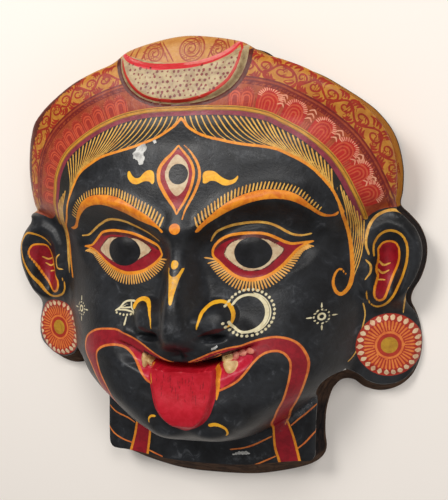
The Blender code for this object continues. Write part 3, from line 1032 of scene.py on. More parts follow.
@dataclass
class HeadbandPaint:
    """Orange headband: nested arches, double line, leaf scrolls, crescent and the combed hair under it."""

    gold: Points = field(default_factory=lambda: [
        (-150, 28), (-148, 40), (-146, 50), (-143, 62), (-141, 73), (-136, 84), (-129, 94), (-119, 103),
        (-105, 112), (-90, 120), (-75, 126), (-60, 130.5), (-40, 133.5), (-20, 134.5), (0, 134), (20, 134),
        (40, 133), (60, 131), (80, 126), (90, 121), (100, 115.5), (110, 109.5), (120, 102), (130, 93),
        (137, 85), (143, 76), (148, 67), (152, 58), (156, 48), (159, 38), (161, 28),
    ])
    hairline: Points = field(default_factory=lambda: [
        (-124, 45), (-121, 55), (-117, 65), (-111, 75), (-103, 82), (-92, 88), (-80, 93.5), (-60, 98),
        (-45, 101.5), (-30, 106), (-20, 110), (-12, 115), (-5, 120), (0, 126), (5, 119.5), (10, 115.5),
        (20, 110), (30, 106.5), (40, 104), (50, 101.5), (60, 99.5), (70, 98), (80, 96.5), (90, 94),
        (100, 89), (110, 83.5), (120, 76), (130, 65), (137, 55), (141, 45), (144, 35),
    ])
    bright_arches: Points = field(default_factory=lambda: [
        (82, 142), (107, 132), (130, 112), (148, 91), (160, 72), (166, 51),
    ])
    dull_arches: Points = field(default_factory=lambda: [
        (50, 140), (61, 142), (-62, 143), (-75, 141), (-88, 137), (-100, 131), (-112, 124), (-124, 116),
        (-135, 107), (-144, 96), (-150, 83), (-153, 69), (-156, 55),
    ])
    double_at: tuple = (26.3, 29.6)
    foliage_at: float = 40.5
    foliage_pitch: float = 12.5

    def ground(self, canvas: Canvas, course: Course) -> None:
        """Orange ground outside the gold line, gold outside the double line, and the crown.

        Args:
            canvas: Canvas to paint on.
            course: Course of the gold line.
        """
        right = [(161, 28), (168, 33), (178, 37), (192, 38), (235, 42)]
        left = [(-235, 44), (-200, 40), (-178, 36), (-165, 33)]
        canvas.fill("band", self.gold[1:-1] + right + [(235, 220), (0, 230), (-235, 220)] + left, 3)
        marks = np.linspace(12, course.length - 9, 40)
        inner = [course.at(u, self.double_at[1]) for u in marks]
        canvas.fill("field", inner + [(240, 46), (240, 225), (0, 235), (-240, 225), (-240, 46)], 2)
        canvas.brush("soot", [
            (-88, 183, 3), (-104, 174, 8), (-124, 163, 10), (-146, 147, 10), (-165, 128, 10), (-178, 106, 8),
            (-183, 82, 6), (-185, 62, 3),
        ])
        canvas.fill("crown", [
            (-64, 192), (-50, 184), (-38, 178), (-22, 174), (0, 172), (20, 173), (36, 177), (50, 184),
            (62, 194), (40, 215), (0, 220), (-40, 215),
        ])

    def arch(self, course: Course, u: float, half: float, top: float) -> tuple[Points, list[Points]]:
        """Round-topped shape standing on the gold line at u, and the three loops nested in it.

        Args:
            course: Course of the gold line.
            u: Place along the line.
            half: Half width.
            top: Height.

        Returns:
            The outline and its loops.
        """
        shape = course.put([
            (u - 0.9 * half, 2.5), (u - half, 0.45 * top), (u - 0.85 * half, 0.78 * top), (u, top),
            (u + 0.85 * half, 0.78 * top), (u + half, 0.45 * top), (u + 0.9 * half, 2.5), (u, 2),
        ])
        loops = []
        for share in (0.70, 0.45, 0.20):
            w, h = share * half, (0.40 + 0.52 * share) * top
            loops.append(tapered(course.put([
                (u - w, 3), (u - w, h - w), (u - 0.7 * w, h - 0.3 * w), (u, h), (u + 0.7 * w, h - 0.3 * w),
                (u + w, h - w), (u + w, 3),
            ]), (0.9, 1.4, 1.4, 1.4, 0.9)))
        return shape, loops

    def ticks(
        self, course: Course, u: float, half: float, top: float, count: int, broad: float
    ) -> list[Points]:
        """Short strokes fanned round an arch's crown.

        Args:
            course: Course of the gold line.
            u: Place along the line.
            half: Half width.
            top: Height.
            count: Number of strokes.
            broad: Broadest width.

        Returns:
            The strokes.
        """
        middle, out = top - half, []
        for turn in np.linspace(-80, 80, count):
            c, d = math.sin(math.radians(turn)), math.cos(math.radians(turn))
            out.append(course.put([
                (u + 0.66 * half * c, middle + 0.66 * half * d, 0.8 * broad),
                (u + 0.97 * half * c, middle + 0.97 * half * d, broad),
            ]))
        return out

    def arches(self, canvas: Canvas, course: Course) -> None:
        """Arches side by side on the gold line, bright and wide at the right, dull and narrow elsewhere.

        Args:
            canvas: Canvas to paint on.
            course: Course of the gold line.
        """
        nested, dull, dashes = [], [], []
        for points, half, top, bright in (
            (self.bright_arches, 10, 24, True), (self.dull_arches, 6, 21, False),
        ):
            for k, (x, y) in enumerate(points):
                u = course.run[np.hypot(course.line[:, 0] - x, course.line[:, 1] - y).argmin()]
                shape, loops = self.arch(course, u, half, top)
                canvas.fill("arch" if bright else "dimarch", shape)
                nested += loops if bright else loops[:2]
                if not bright:
                    dull += self.ticks(course, u, half, top, 9, 0.9)
                    dull.append(course.put([(u + half + 0.5, 3, 0.8), (u + half + 0.5, 14, 1)]))
                    continue
                dashes += self.ticks(course, u, half, top, 15, 1.15)
                if k + 1 < len(points):
                    x, y = (np.array(points[k]) + points[k + 1]) / 2
                    w = course.run[np.hypot(course.line[:, 0] - x, course.line[:, 1] - y).argmin()]
                    for v in (14, 18, 22):
                        dashes.append(course.put([(w - 3, v - 2.8, 0.8), (w, v, 1.4), (w + 3, v - 2.8, 0.8)]))
                    dull += [course.put([(w + d, 2.5, 0.8), (w + d, 9.5, 1)]) for d in (-2, 0, 2)]
        canvas.lines("nest", nested, 4)
        canvas.lines("faint", dull, 4, 2)
        canvas.lines("dash", dashes, 4, 2)

    def leaves(self, canvas: Canvas, course: Course) -> None:
        """Double dark line outside the arches, then a scrolling vine with feathered leaves out to the rim.

        Args:
            canvas: Canvas to paint on.
            course: Course of the gold line.
        """
        marks = np.linspace(9, course.length - 5, 60)
        canvas.lines("ink", [course.put([(u, v, 1.7) for u in marks]) for v in self.double_at], 2, 2)
        canvas.lines("ink", [course.put([(u, 23.4, 0.9) for u in marks])], 3, 2)
        rng = np.random.default_rng(11)
        strokes = []
        middle, reach = self.foliage_at, self.foliage_pitch
        path = np.arange(12, course.length - 8, 2.5)
        stem = [(u, middle + 5.2 * math.sin(math.pi * (u - 9.75) / reach), 1.9) for u in path]
        for k in range(0, len(stem) - 6, 6):
            strokes.append(course.put(stem[k:k + 7]))
        for k, u in enumerate(np.arange(16, course.length - 10, reach)):
            side = 1 if k % 2 == 0 else -1
            curl = rng.uniform(4.6, 5.6)
            turns = np.linspace(0, 1.3, 12)
            strokes.append(course.put([
                (u + curl * (1 - 0.66 * t) * math.sin(2 * math.pi * t) * 1.1,
                 middle - side * (1.2 - curl * (1 - 0.66 * t) * math.cos(2 * math.pi * t)), 2.1 - 0.9 * t)
                for t in turns
            ]))
            for rank, (count, away, long) in enumerate(((7, 5.4, 6), (8, 12.2, 6.2), (8, 18.8, 6))):
                if side < 0 and rank > 0:
                    continue
                for n in range(count):
                    fan = -1.0 + 2.0 * n / (count - 1)
                    at = u + fan * (6.0 + 1.6 * rank)
                    base = middle + side * (away - 0.9 * abs(fan)) + rng.uniform(-0.5, 0.5)
                    bend = 1.0 if fan >= 0 else -1.0
                    size = long * rng.uniform(0.8, 1.15)
                    strokes.append(tapered(course.put([
                        (at, base), (at + bend * 0.6, base + side * 0.45 * size),
                        (at + bend * 2.4, base + side * 0.80 * size),
                        (at + bend * 4.4, base + side * 0.72 * size),
                    ]), (0.8, 2.3, 1.9, 0.7)))
        canvas.lines("scroll", [line for line in strokes if not -63 < line[0][0] < 61], 5)

    def spirals(self, canvas: Canvas) -> None:
        """Three spirals on the crown.

        Args:
            canvas: Canvas to paint on.
        """
        strokes = []
        for cx, cy, size, turns in ((-28, 188, 11, 2.6), (8, 190, 14, 3.2), (34, 187, 9.5, 2.3)):
            t = np.linspace(0.08, 1, 30)
            angle = t * turns * 2 * math.pi
            spiral = [(cx + size * a * math.cos(b), cy + size * a * math.sin(b), 1.5) for a, b in zip(t, angle)]
            strokes.append(spiral)
        for x, lean in ((-50, 3), (-14, -4), (-9, -5), (24, 4), (48, -3), (-43, 4), (54, -3), (-56, 3)):
            strokes.append([(x, 179, 1), (x + lean, 188, 1.6), (x + 2.4 * lean, 199, 0.8)])
        canvas.lines("whorl", strokes, 4)

    def moon(self, canvas: Canvas, form: CrescentForm) -> None:
        """Crescent: painted shadow beneath it, cream ground, its red edge bands with a painted highlight on the
        upper one, and dark dots.

        Args:
            canvas: Canvas to paint on.
            form: Moulded form under the paint.
        """
        low, high = form.depths(np.abs(canvas.x) / 1000, canvas.y / 1000)
        every = np.arange(len(canvas.x))
        # Painted shadow: a dark band just outside the crescent's lower edge.
        canvas.add("shade", every, np.minimum(low + 0.0034, high - 0.004) * 1000)
        canvas.add("moon", every, np.minimum(low, high + 0.0015) * 1000)
        canvas.brush("band_red", [
            (-61, 190, 3), (-52, 183.5, 5), (-40, 178, 6), (-24, 174.8, 6.6), (0, 174, 6.6),
            (20, 175.5, 5.6),
            (36, 179.5, 5), (47, 186, 4.4), (55, 194, 3),
        ])
        # Painted highlight: pale pink over the upper red band, mostly on its right half.
        canvas.brush("band_highlight", [(2, 175.5, 2), (18, 177, 3.4), (34, 181, 3.4), (47, 188, 3),
            (54, 195, 2)])
        canvas.brush("band_highlight", [(-57, 188, 1), (-48, 182.5, 2), (-38, 179, 1)])
        canvas.brush("edge_red", [
            (-59, 184, 2), (-56, 172, 2.6), (-50, 161, 3), (-41, 151.5, 3), (-29, 145.5, 2.8),
            (-12, 142.2, 2.8),
            (4, 141.6, 2.8), (20, 144.2, 2.8), (33, 149.5, 3), (45, 158, 3), (53, 170, 2.8), (57, 184, 2.4),
            (55, 193, 2),
        ])
        rng = np.random.default_rng(5)
        for row, y in enumerate(np.arange(146, 186, 4.6)):
            for x in np.arange(-54, 56, 5):
                px, py = x + 2.5 * (row % 2) + rng.uniform(-0.9, 0.9), y + rng.uniform(-0.9, 0.9)
                inside = [float(v) * 1000 for v in form.depths(abs(px) / 1000, py / 1000)]
                if inside[0] > 6.0 and inside[1] > 4.0:
                    canvas.oval("dot", (px, py), (rng.uniform(1.05, 1.6),) * 2)

    def hair(self, canvas: Canvas) -> None:
        """Gold line, plum band under it, orange hairline and the long combed strands between.

        Args:
            canvas: Canvas to paint on.
        """
        gold, line = Course(self.gold), Course(self.hairline)
        marks = np.linspace(0, gold.length, 60)
        canvas.fill("hairwash", [gold.at(u, -6) for u in marks[4:-3]] + self.hairline[::-1], 2)
        canvas.brush("gold", gold.put([(u, 0.8, 4) for u in marks]), 2)
        canvas.brush("plum", gold.put([(u, -3.8, 4.4) for u in marks]), 2)
        canvas.lines("olive", [gold.put([(u, v, 0.9) for u in marks]) for v in (1.6, -1.4)], 2, 2)
        canvas.brush("orange", line.put([(u, 0, 2.4) for u in np.linspace(0, line.length, 70)]), 1)
        strands = []
        half = line.run[np.abs(line.line[:, 0]).argmin()]
        top = gold.run[np.abs(gold.line[:, 0]).argmin()]
        for side, reach, span in ((1, line.length - half, gold.length - top), (-1, half, top)):
            for head in np.arange(3, span - 6, 5.4):
                ahead = float(np.interp(head, (0, 20, 50, 80, 110, 215), (6, 24, 46, 38, 28, 24)))
                foot = 0.97 * head + ahead
                if foot > reach + 4.0:
                    continue
                a = np.array(gold.at(top + side * head, -6.8))
                b = np.array(line.at(half + side * foot, 1.2))
                sag = np.array([(a - b)[1], -(a - b)[0]]) * side * 0.07
                strands.append([(*a, 1.4), (*(0.65 * a + 0.35 * b - sag), 1.1),
                    (*(0.3 * a + 0.7 * b - sag), 0.75), (*b, 0.4)])
        canvas.lines("straw", strands, 5)
        tail = [
            (141, 45), (144, 30), (147, 10), (148.5, -10), (148.5, -24), (145.5, -36), (139, -42.5),
            (134, -38),
            (132.5, -29), (135, -21), (139, -18.5), (143, -24),
        ]
        canvas.brush("orange", tapered(tail, (2.4, 3.2, 4, 3, 2, 1.4)))
        locks = []
        for k in range(8):
            t = k / 7
            start, end = (143 + 17 * t, 60 - 34 * t), (146.0 + 3 * math.sin(math.pi * t), 14 - 50 * t)
            locks.append([(*start, 1.1), (0.5 * (start[0] + end[0]) + 2.2 + 2 * t,
                0.5 * (start[1] + end[1]), 1), (*end, 0.6)])
        canvas.lines("straw", locks, 5)
        canvas.brush("orange", tapered([(-124, 45), (-129, 35), (-137, 25), (-142, 12), (-142, -8),
            (-140, -28)], (2.2, 2, 3)))
        canvas.lines("straw", [
            tapered([(-128 - 3 * k, 62 - 3 * k), (-135 - 2.6 * k, 34 - 2 * k), (-143 - 1.3 * k, 8 - 3 * k),
            (-143 - k, -12 - 3 * k)],
                    (1.3, 1.5, 0.9)) for k in range(5)
        ], 5)

    def paint(self, canvas: Canvas, form: CrescentForm) -> None:
        """Every part of the headband.

        Args:
            canvas: Canvas to paint on.
            form: Moulded form under the paint.
        """
        course = Course(self.gold)
        self.ground(canvas, course)
        self.arches(canvas, course)
        self.leaves(canvas, course)
        self.spirals(canvas)
        self.moon(canvas, form)
        self.hair(canvas)


@dataclass
class BrowPaint:
    """Orange brow with short upright ticks on it."""

    upper: Points
    lower: Points
    ticks: int = 38

    def paint(self, canvas: Canvas) -> None:
        """Fills the brow and lays its ticks, longer and further apart near the nose.

        Args:
            canvas: Canvas to paint on.
        """
        canvas.fill("brow", [(x, y) for x, y in self.upper + self.lower])
        side = 1 if self.upper[0][0] > 0 else -1
        course = Course(self.upper)
        strokes = []
        for k in range(self.ticks):
            t = (k + 0.6) / self.ticks
            x, y = course.at(course.length * (0.02 + 0.86 * t ** 0.92), side * 0.6)
            lean = math.radians(-22 + 62 * t)
            size = 9.0 - 5.0 * t
            strokes.append([
                (x, y, 1.9 - 0.6 * t),
                (x + side * size * math.sin(lean), y + size * math.cos(lean), 1.4 - 0.5 * t),
            ])
        canvas.lines("straw", strokes, 4, 1)


@dataclass
class EyePaint:
    """Almond eye: crimson inside an orange outline, cream ball, black iris, crease line and lashes."""

    upper: Points
    lower: Points
    cream: Points
    iris: tuple
    iris_size: tuple
    crease: Points
    lashes: int = 44

    def paint(self, canvas: Canvas) -> None:
        """Fills from the outside in, then the outline and the lashes under the lower lid.

        Args:
            canvas: Canvas to paint on.
        """
        canvas.fill("crimson", [(x, y) for x, y in self.upper] + [(x, y) for x, y in self.lower[::-1][1:-1]])
        canvas.fill("cream", self.cream)
        canvas.oval("iris", self.iris, self.iris_size)
        # Painted shadow: a dark band under the upper lid's outline, over the crimson.
        canvas.brush("lid", [(x, y - 2.6, 3.2) for x, y in self.upper[1:-4]])
        canvas.brush("lid", [(x, y, 1.1) for x, y in self.cream + self.cream[:1]])
        canvas.brush("orange", tapered(self.upper, (2.2, 2.6, 2.4, 2.6, 1.6)))
        canvas.brush("orange", tapered(self.lower, (2, 2.9, 3.3, 2.7, 1.3)))
        canvas.lines("straw", [tapered(self.crease, (1, 2.2, 2.2, 2, 1.4))], 4)
        side = 1 if self.iris[0] > 0 else -1
        course = Course(self.lower)
        strokes = []
        for k in range(self.lashes):
            t = (k + 0.5) / self.lashes
            u = course.length * (0.05 + 0.90 * t)
            x, y = course.at(u, -side * 1.2)
            fall = course.at(u + (t - 0.42) * 9,
                -side * (1.2 + 3.4 + 5.6 * math.sin(math.pi * min(1, 0.12 + t)) ** 0.8))
            strokes.append([(x, y, 1.6), (*fall, 1.2)])
        canvas.lines("lash", strokes, 3, 1)


@dataclass
class FacePaint:
    """Third eye, forehead marks, brows, eyes, nose hooks, ring, pin and suns."""

    brows: tuple = field(default_factory=lambda: (
        BrowPaint(
            [(17, 22), (22, 28), (30, 35), (40, 43), (50, 49.5), (60, 54), (70, 57), (80, 58.5), (90, 58),
             (100, 56.5), (108, 53), (114, 48), (119, 43), (124, 38), (130, 34.5), (136, 34), (141, 37)],
            [(139, 33), (133, 32), (127, 32.5), (122, 35.5), (117, 39.5), (110, 44), (103, 47.5), (95, 49.5),
             (85, 50), (75, 49), (65, 46.5), (55, 43), (45, 38.5), (35, 33), (27, 28), (20, 22)],
        ),
        BrowPaint(
            [(-13, 23), (-20, 30), (-28, 37), (-38, 43), (-48, 49), (-58, 54), (-70, 57), (-82, 57.5),
            (-92, 56),
             (-101, 51.5), (-108, 45.5), (-114, 38.5), (-119, 31.5), (-124, 26.5), (-130, 25)],
            [(-127, 23), (-121, 25), (-116, 31), (-110, 37.5), (-104, 42), (-96, 46), (-86, 48), (-75, 47.5),
             (-64, 44), (-52, 39), (-42, 34), (-32, 30.5), (-24, 28), (-18, 25), (-15, 21.5)],
        ),
    ))
    eyes: tuple = field(default_factory=lambda: (
        EyePaint(
            [(27.5, 2), (30, 8), (36, 13.5), (45, 17.5), (58, 19), (70, 18.8), (78, 17), (86, 13), (92, 9.5),
             (98, 7.5), (105, 8), (116, 9)],
            [(27.5, 2), (28, -2), (33, -7), (40, -14), (48, -20), (58, -23.5), (68, -23.5), (78, -20.5),
             (88, -13.5), (96, -5), (102, 2), (108, 6), (116, 9)],
            [(38, 0), (42, 8), (48, 12), (54, 13.5), (75, 13.5), (82, 10), (88, 6), (91, 3), (89, -1),
            (84, -6),
             (76, -13), (68, -15.5), (58, -15.5), (50, -11.5), (43, -6)],
            (64.5, 0.8), (16.8, 14.4),
            [(27, 12), (30, 17), (35, 22), (45, 26), (55, 28), (68, 28.8), (78, 27.5), (86, 24), (92, 20),
             (98, 16.5), (104, 15), (110, 15.3), (115, 16.5)],
        ),
        EyePaint(
            [(-22, 2), (-25, 8), (-32, 12), (-42, 16.5), (-52, 20), (-65, 22), (-78, 22.5), (-90, 20.5),
            (-96, 16),
             (-102, 11), (-108, 7), (-117, 5.5)],
            [(-22, 2), (-22, -1), (-28, -7), (-35, -12), (-43, -16), (-53, -18), (-63, -18), (-75, -14),
             (-86, -8.5), (-96, -2), (-106, 3), (-117, 5.5)],
            [(-33, 4), (-37, 9), (-45, 14), (-52, 15.5), (-78, 16), (-85, 13), (-91, 8), (-95, 3), (-88, -2),
             (-80, -6), (-70, -9.5), (-60, -10), (-48, -5.5), (-38, 0)],
            (-63, 2.8), (18.4, 14),
            [(-22, 13), (-30, 19), (-40, 24), (-50, 28), (-60, 31.5), (-72, 33.5), (-80, 33), (-88, 30),
            (-96, 26),
             (-104, 21), (-110, 17.5), (-118, 16.5)],
        ),
    ))

    def third_eye(self, canvas: Canvas) -> None:
        """Upright eye on the forehead with a second line at its right, and the marks beside it.

        Args:
            canvas: Canvas to paint on.
        """
        left = [(0, 100.5), (-6, 93.5), (-12, 88), (-17, 82), (-18.8, 76), (-18, 68), (-14, 60), (-9, 52),
            (-3, 44), (0, 38)]
        right = [(0, 38), (2, 42), (7, 50), (12, 60), (14.6, 69), (15.2, 76), (13.5, 83), (10, 89), (5, 95),
            (0, 100.5)]
        canvas.fill("crimson", [(0, 97), *left[1:-1], (0, 43), *right[1:-1]])
        canvas.fill("cream", [
            (-1, 92.5), (-7, 87), (-11, 80), (-12.5, 74), (-10, 66), (-6, 59), (-1, 54.5), (4, 57.5), (8, 63),
            (10.5, 72), (9.5, 82), (5, 88.5),
        ])
        canvas.oval("iris", (0.5, 74.5), (9.4, 9.4))
        canvas.brush("orange", tapered(left, (1.6, 3.2, 3.6, 3.2, 1.4)))
        canvas.brush("orange", tapered(right, (1.4, 2.4, 2.6, 2.4, 1.6)))
        canvas.brush("orange", tapered([
            (5, 101), (10, 96.5), (15, 90), (19, 83), (20.8, 75), (20, 67), (16, 57), (11, 48), (7.5, 41),
            (5.5, 33),
        ], (0.8, 2.2, 2.8, 2.4, 1)))
        canvas.fill("yellow", [
            (-50.5, 78.5), (-51, 74), (-49, 70), (-45, 67), (-40, 66.5), (-36, 68), (-32, 69), (-28, 68.5),
            (-25, 66), (-23, 68), (-23, 73), (-24, 77), (-27, 79), (-31, 78.5), (-35, 75.5), (-38, 72.5),
            (-42, 72), (-45, 73.5), (-47, 76), (-48.5, 78.5),
        ])
        canvas.fill("yellow", [
            (24, 74), (27, 76.5), (32, 76.5), (36, 75), (40, 71.5), (44, 69), (49, 67.5), (53, 69),
            (55.5, 71.5),
            (56, 70), (54, 66), (49, 63.5), (44, 63), (40, 64.5), (36, 67), (31, 67.5), (27, 65.5),
            (24, 66), (24, 69),
        ])
        canvas.oval("brow", (-1, 25), (5.4, 5))
        canvas.oval("yellow", (-1, -7), (3.7, 4))
        canvas.fill("yellow", [
            (-8.5, -10), (-6.6, -10.5), (-6.2, -14), (-4, -16.5), (0, -17.5), (3, -15.5), (5, -12), (6, -10),
            (7.5, -11), (5.5, -17), (4, -23), (2.5, -31), (1.4, -40), (0, -41.5), (-1.5, -40), (-3, -33),
            (-4.5, -26), (-6, -19),
        ], 3)

    def nose(self, canvas: Canvas) -> None:
        """Hooks over the wings, the ring with its beads and the pin with its drop.

        Args:
            canvas: Canvas to paint on.
        """
        canvas.brush("yellow", tapered([
            (-51, -50), (-48, -44.5), (-42, -41.5), (-35, -42.5), (-30, -47), (-27, -53), (-24.5, -59),
            (-25, -66),
        ], (4.5, 3.6, 3.2, 2.4, 0.8)))
        canvas.brush("yellow", tapered([
            (19.5, -65.5), (22, -57), (23.5, -50), (28, -44.5), (34, -42.5), (40, -43), (45, -46.5),
            (48, -52),
            (48.5, -58), (46, -63.5), (42, -65),
        ], (0.8, 3.2, 3.4, 2.4, 3, 2.2, 0.8)))
        canvas.fill("maroon", [(19, -72), (28, -67.5), (36, -65), (43, -65.5), (38, -68.5), (29, -71)])
        canvas.fill("maroon", [(-19, -72), (-28, -67.5), (-36, -65), (-41, -65.5), (-37, -68.5), (-29, -71)])
        turn = np.radians(np.linspace(152, -158, 26))
        canvas.brush("bead", [(61 + 16.6 * math.cos(a), -53.5 + 16.2 * math.sin(a),
            2.2 + 1.6 * max(0, math.cos(a))) for a in turn])
        canvas.lines("white", [[(61 + 19.6 * math.cos(a), -53.5 + 18.0 * math.sin(a), 1.1)
            for a in turn[6:19]]], 3)
        for a in np.radians(np.linspace(160, -158, 30)):
            canvas.oval("bead", (62 + 22.0 * math.cos(a), -53.0 + 20.4 * math.sin(a)), (1.35, 1.35))
        canvas.lines("white", [
            [(-72, -54, 1.6), (-67, -51, 1.8), (-63, -46.5, 1.8), (-58, -44.2, 1.8), (-51, -44, 2.2)],
            [(-54.5, -45, 1.5), (-54, -51, 1.5), (-50, -54.5, 1.2)],
            [(-69, -53, 1.4), (-60, -53, 1.6), (-51, -55, 1.4)],
            [(-66, -51, 1.2), (-58, -50.6, 1.4), (-54, -50, 1.2)],
            [(-59, -59, 1.2), (-59, -65.5, 2.4)],
        ], 3)
        for x in (-70.5, -66.5, -62.5, -58.5, -54.5, -51):
            canvas.oval("bead", (x, -55.3 - 2.2 * math.sin(math.pi * (x + 72) / 22)), (1.2, 1.2))

    def suns(self, canvas: Canvas) -> None:
        """Small sun of rings and beads on each cheek.

        Args:
            canvas: Canvas to paint on.
        """
        for cx, cy in ((123, -61), (-121.5, -57)):
            turn = np.radians(np.arange(0, 361, 30))
            canvas.lines("white", [[(cx + 2.8 * math.cos(a), cy + 2.8 * math.sin(a), 1.6) for a in turn]], 3)
            for a in turn[:-1]:
                canvas.oval("bead", (cx + 6.4 * math.cos(a), cy + 6.4 * math.sin(a)), (1, 1))
            for a in turn[:-1:3]:
                c, s = math.cos(a), math.sin(a)
                canvas.lines("white", [[(cx + 8.5 * c, cy + 8.5 * s, 1.6),
                    (cx + 12.5 * c, cy + 12.5 * s, 0.8)]], 3, 1)

    def paint(self, canvas: Canvas) -> None:
        """Every mark of the upper face.

        Args:
            canvas: Canvas to paint on.
        """
        self.third_eye(canvas)
        for part in (*self.brows, *self.eyes):
            part.paint(canvas)
        self.nose(canvas)
        self.suns(canvas)


@dataclass
class MouthPaint:
    """Crimson lip bands that run down to the neck, open mouth, teeth, tongue and chin hooks."""

    right_outer: Points = field(default_factory=lambda: [
        (8, -97), (18, -93), (30, -88), (45, -84), (55, -82.5), (65, -79), (75, -76.5), (85, -75.5),
        (95, -77.5),
        (103, -82), (109, -90), (112, -99), (111.5, -108), (108, -120), (103, -132), (97, -143), (90.5, -153),
        (84.5, -165), (78, -177),
    ])
    right_inner: Points = field(default_factory=lambda: [
        (65.5, -180), (71, -168), (77, -158), (82, -148), (88, -138), (92, -128), (95.5, -116), (97.5, -104),
        (97, -97), (93, -91), (87, -88), (79, -88.5), (72, -92), (65, -99), (58, -108), (50, -116),
        (40, -121.5),
        (33, -124.5),
    ])
    left_outer: Points = field(default_factory=lambda: [
        (-8, -97.5), (-20, -93), (-30, -87), (-42, -80), (-55, -74.5), (-68, -71.5), (-80, -71.5), (-92, -73),
        (-102, -77), (-110, -83), (-113.5, -92), (-112, -101), (-107, -109), (-103, -117), (-99, -126),
        (-94, -138), (-88, -152), (-84, -165), (-81, -178),
    ])
    left_inner: Points = field(default_factory=lambda: [
        (-67, -184), (-71, -170), (-75, -158), (-79, -146), (-83, -136), (-88, -126), (-93, -116),
        (-95, -107),
        (-95, -100), (-93, -94), (-87, -89.5), (-78, -86.5), (-68, -86), (-60, -89.5), (-53, -97),
        (-45, -107),
        (-38, -116), (-32, -120),
    ])

    def paint(self, canvas: Canvas, form: MouthForm) -> None:
        """Bands, slot, tongue and teeth in that order, with the orange lines on their edges.

        Args:
            canvas: Canvas to paint on.
            form: Moulded form under the paint.
        """
        canvas.fill("crimson", self.right_outer + self.right_inner + [(32, -108), (30, -101), (14, -99)])
        canvas.fill("crimson", self.left_outer + self.left_inner + [(-31, -108), (-30, -101), (-14, -99)])
        canvas.fill("glow", [(30, -100), (45, -96), (60, -92), (66, -94), (58, -104), (46, -115), (34, -121)])
        canvas.fill("glow", [(-30, -100), (-45, -94), (-56, -88), (-58, -91), (-50, -102), (-40, -114),
            (-32, -118)])
        # Painted shadow: dark maroon just under the upper lip's edge on both sides.
        canvas.fill("maroon", [(2, -99), (16, -96), (30, -91), (44, -87), (54, -85), (50, -89), (38, -93),
            (20, -99)])
        canvas.fill("maroon", [(-2, -99), (-16, -96.5), (-28, -92), (-38, -88), (-32, -94.5), (-15, -99)])
        canvas.fill("slot", [
            (-34, -94), (-25, -97.5), (-12, -99.5), (0, -100), (12, -99.5), (26, -96.5), (38, -92),
            (36, -95.5),
            (30, -99.5), (16, -102.5), (0, -103.4), (-15, -102.5), (-29, -99.5),
        ])
        half = [(p[1] * 1000, p[0] * 1000) for p in form.tongue]
        canvas.fill("tongue", [(0, -164)] + half + [(30, -101), (15, -102.8), (0, -103.6), (-15, -102.8),
            (-30, -101)] + mirrored(half)[::-1])
        for cx, cy, w, h in ((-40.5, -99, 3.1, 7.4), (-35.3, -99.5, 2.6, 6.2)):
            canvas.oval("tooth", (cx, cy), (w, h))
        canvas.fill("tooth", [(33, -95), (40, -92.5), (47, -91.5), (48.5, -94), (44, -96.5), (36, -98)])
        canvas.fill("tooth", [(38, -98.5), (44, -97), (49.5, -98), (50.5, -102), (47.5, -107), (42, -108),
            (38, -104)])
        for cx, cy, w, h in ((48.5, -93, 3, 3.6), (55, -90.5, 3.4, 3), (62.5, -88, 4.4, 2.6)):
            canvas.oval("gumtooth", (cx, cy), (w, h))
        for line, widths in (
            (self.right_outer, (1.4, 1.4, 2, 2.2, 1.6, 1.4)), (self.right_inner, (1.4, 1.6, 2, 2, 2)),
            (self.left_outer, (1.6, 1.8, 2, 2, 1.4)), (self.left_inner, (1.4, 2, 2.2, 2)),
        ):
            canvas.lines("rust", [tapered(line, widths)], 2)
        canvas.lines("rust", [
            tapered([(-38, -91), (-28, -95.5), (-14, -98.6), (0, -99.2), (14, -98.6), (28, -95), (38, -90)],
            (0.8, 1.3, 0.8)),
        ], 2)
        rng = np.random.default_rng(3)
        canvas.lines("crack", [
            [(x, y, 0.3), (x + rng.uniform(-0.5, 0.5), y - rng.uniform(2, 6), 0.5),
            (x + rng.uniform(-1, 1), y - rng.uniform(7, 10), 0.3)]
            for x, y in zip(rng.uniform(-24, 24, 26), rng.uniform(-128, -106, 26))
        ], 3)
        canvas.brush("orange", [(-31.5, -102, 1.6), (-30.5, -109, 2.2), (-29.5, -118, 1.6)])
        canvas.brush("orange", [(31.5, -101, 1.8), (33.5, -109, 3), (33.5, -120, 3.4), (32, -132, 1.6)])
        canvas.brush("yellow", [(-29, -150.5, 2.6), (-33, -151, 2.2), (-36, -154, 1.6), (-37, -159, 0.8)])
        canvas.brush("yellow", [(24, -157, 3), (29, -156, 3.6), (34, -157.5, 3), (38, -161, 2.2),
            (39, -166, 1.6), (37, -169, 0.8)])


@dataclass
class EarPaint:
    """Ear line work, its crimson bowl and the petalled disc on the lobe."""

    helix: Points
    bowl: Points
    marks: list
    disc: tuple
    radius: float = 31.0
    petals: int = 40

    def paint(self, canvas: Canvas) -> None:
        """Bowl, helix and marks, then the disc from its rim of cream petals to its gold centre.

        Args:
            canvas: Canvas to paint on.
        """
        canvas.fill("crimson", self.bowl)
        canvas.brush("orange", tapered(self.bowl + self.bowl[:1], (1.8, 2.4, 1.8)))
        canvas.brush("straws", tapered(self.helix, (1.6, 2.4, 2.4, 2.2, 1.4)))
        canvas.lines("straw", self.marks, 4)
        cx, cy = self.disc
        canvas.oval("disc", self.disc, (self.radius, self.radius))
        canvas.oval("core", self.disc, (8, 8))
        turn = np.linspace(0, 2 * math.pi, 37)
        canvas.lines("petal", [[(cx + 12.6 * math.cos(a), cy + 12.6 * math.sin(a), 2.2) for a in turn]], 4, 1)
        rays = []
        for a in np.arange(self.petals) * 2 * math.pi / self.petals:
            c, s = math.cos(a), math.sin(a)
            rays.append([(cx + 14.6 * c, cy + 14.6 * s, 1.1), (cx + 19 * c, cy + 19 * s, 1.7),
                (cx + 23.4 * c, cy + 23.4 * s, 2)])
        canvas.lines("petal", rays, 4, 1)
        for a in np.arange(26) * 2 * math.pi / 26:
            canvas.brush("rimdot", [
                (cx + 25.6 * math.cos(a), cy + 25.6 * math.sin(a), 3.6),
                (cx + 28.2 * math.cos(a), cy + 28.2 * math.sin(a), 5),
            ], 1)


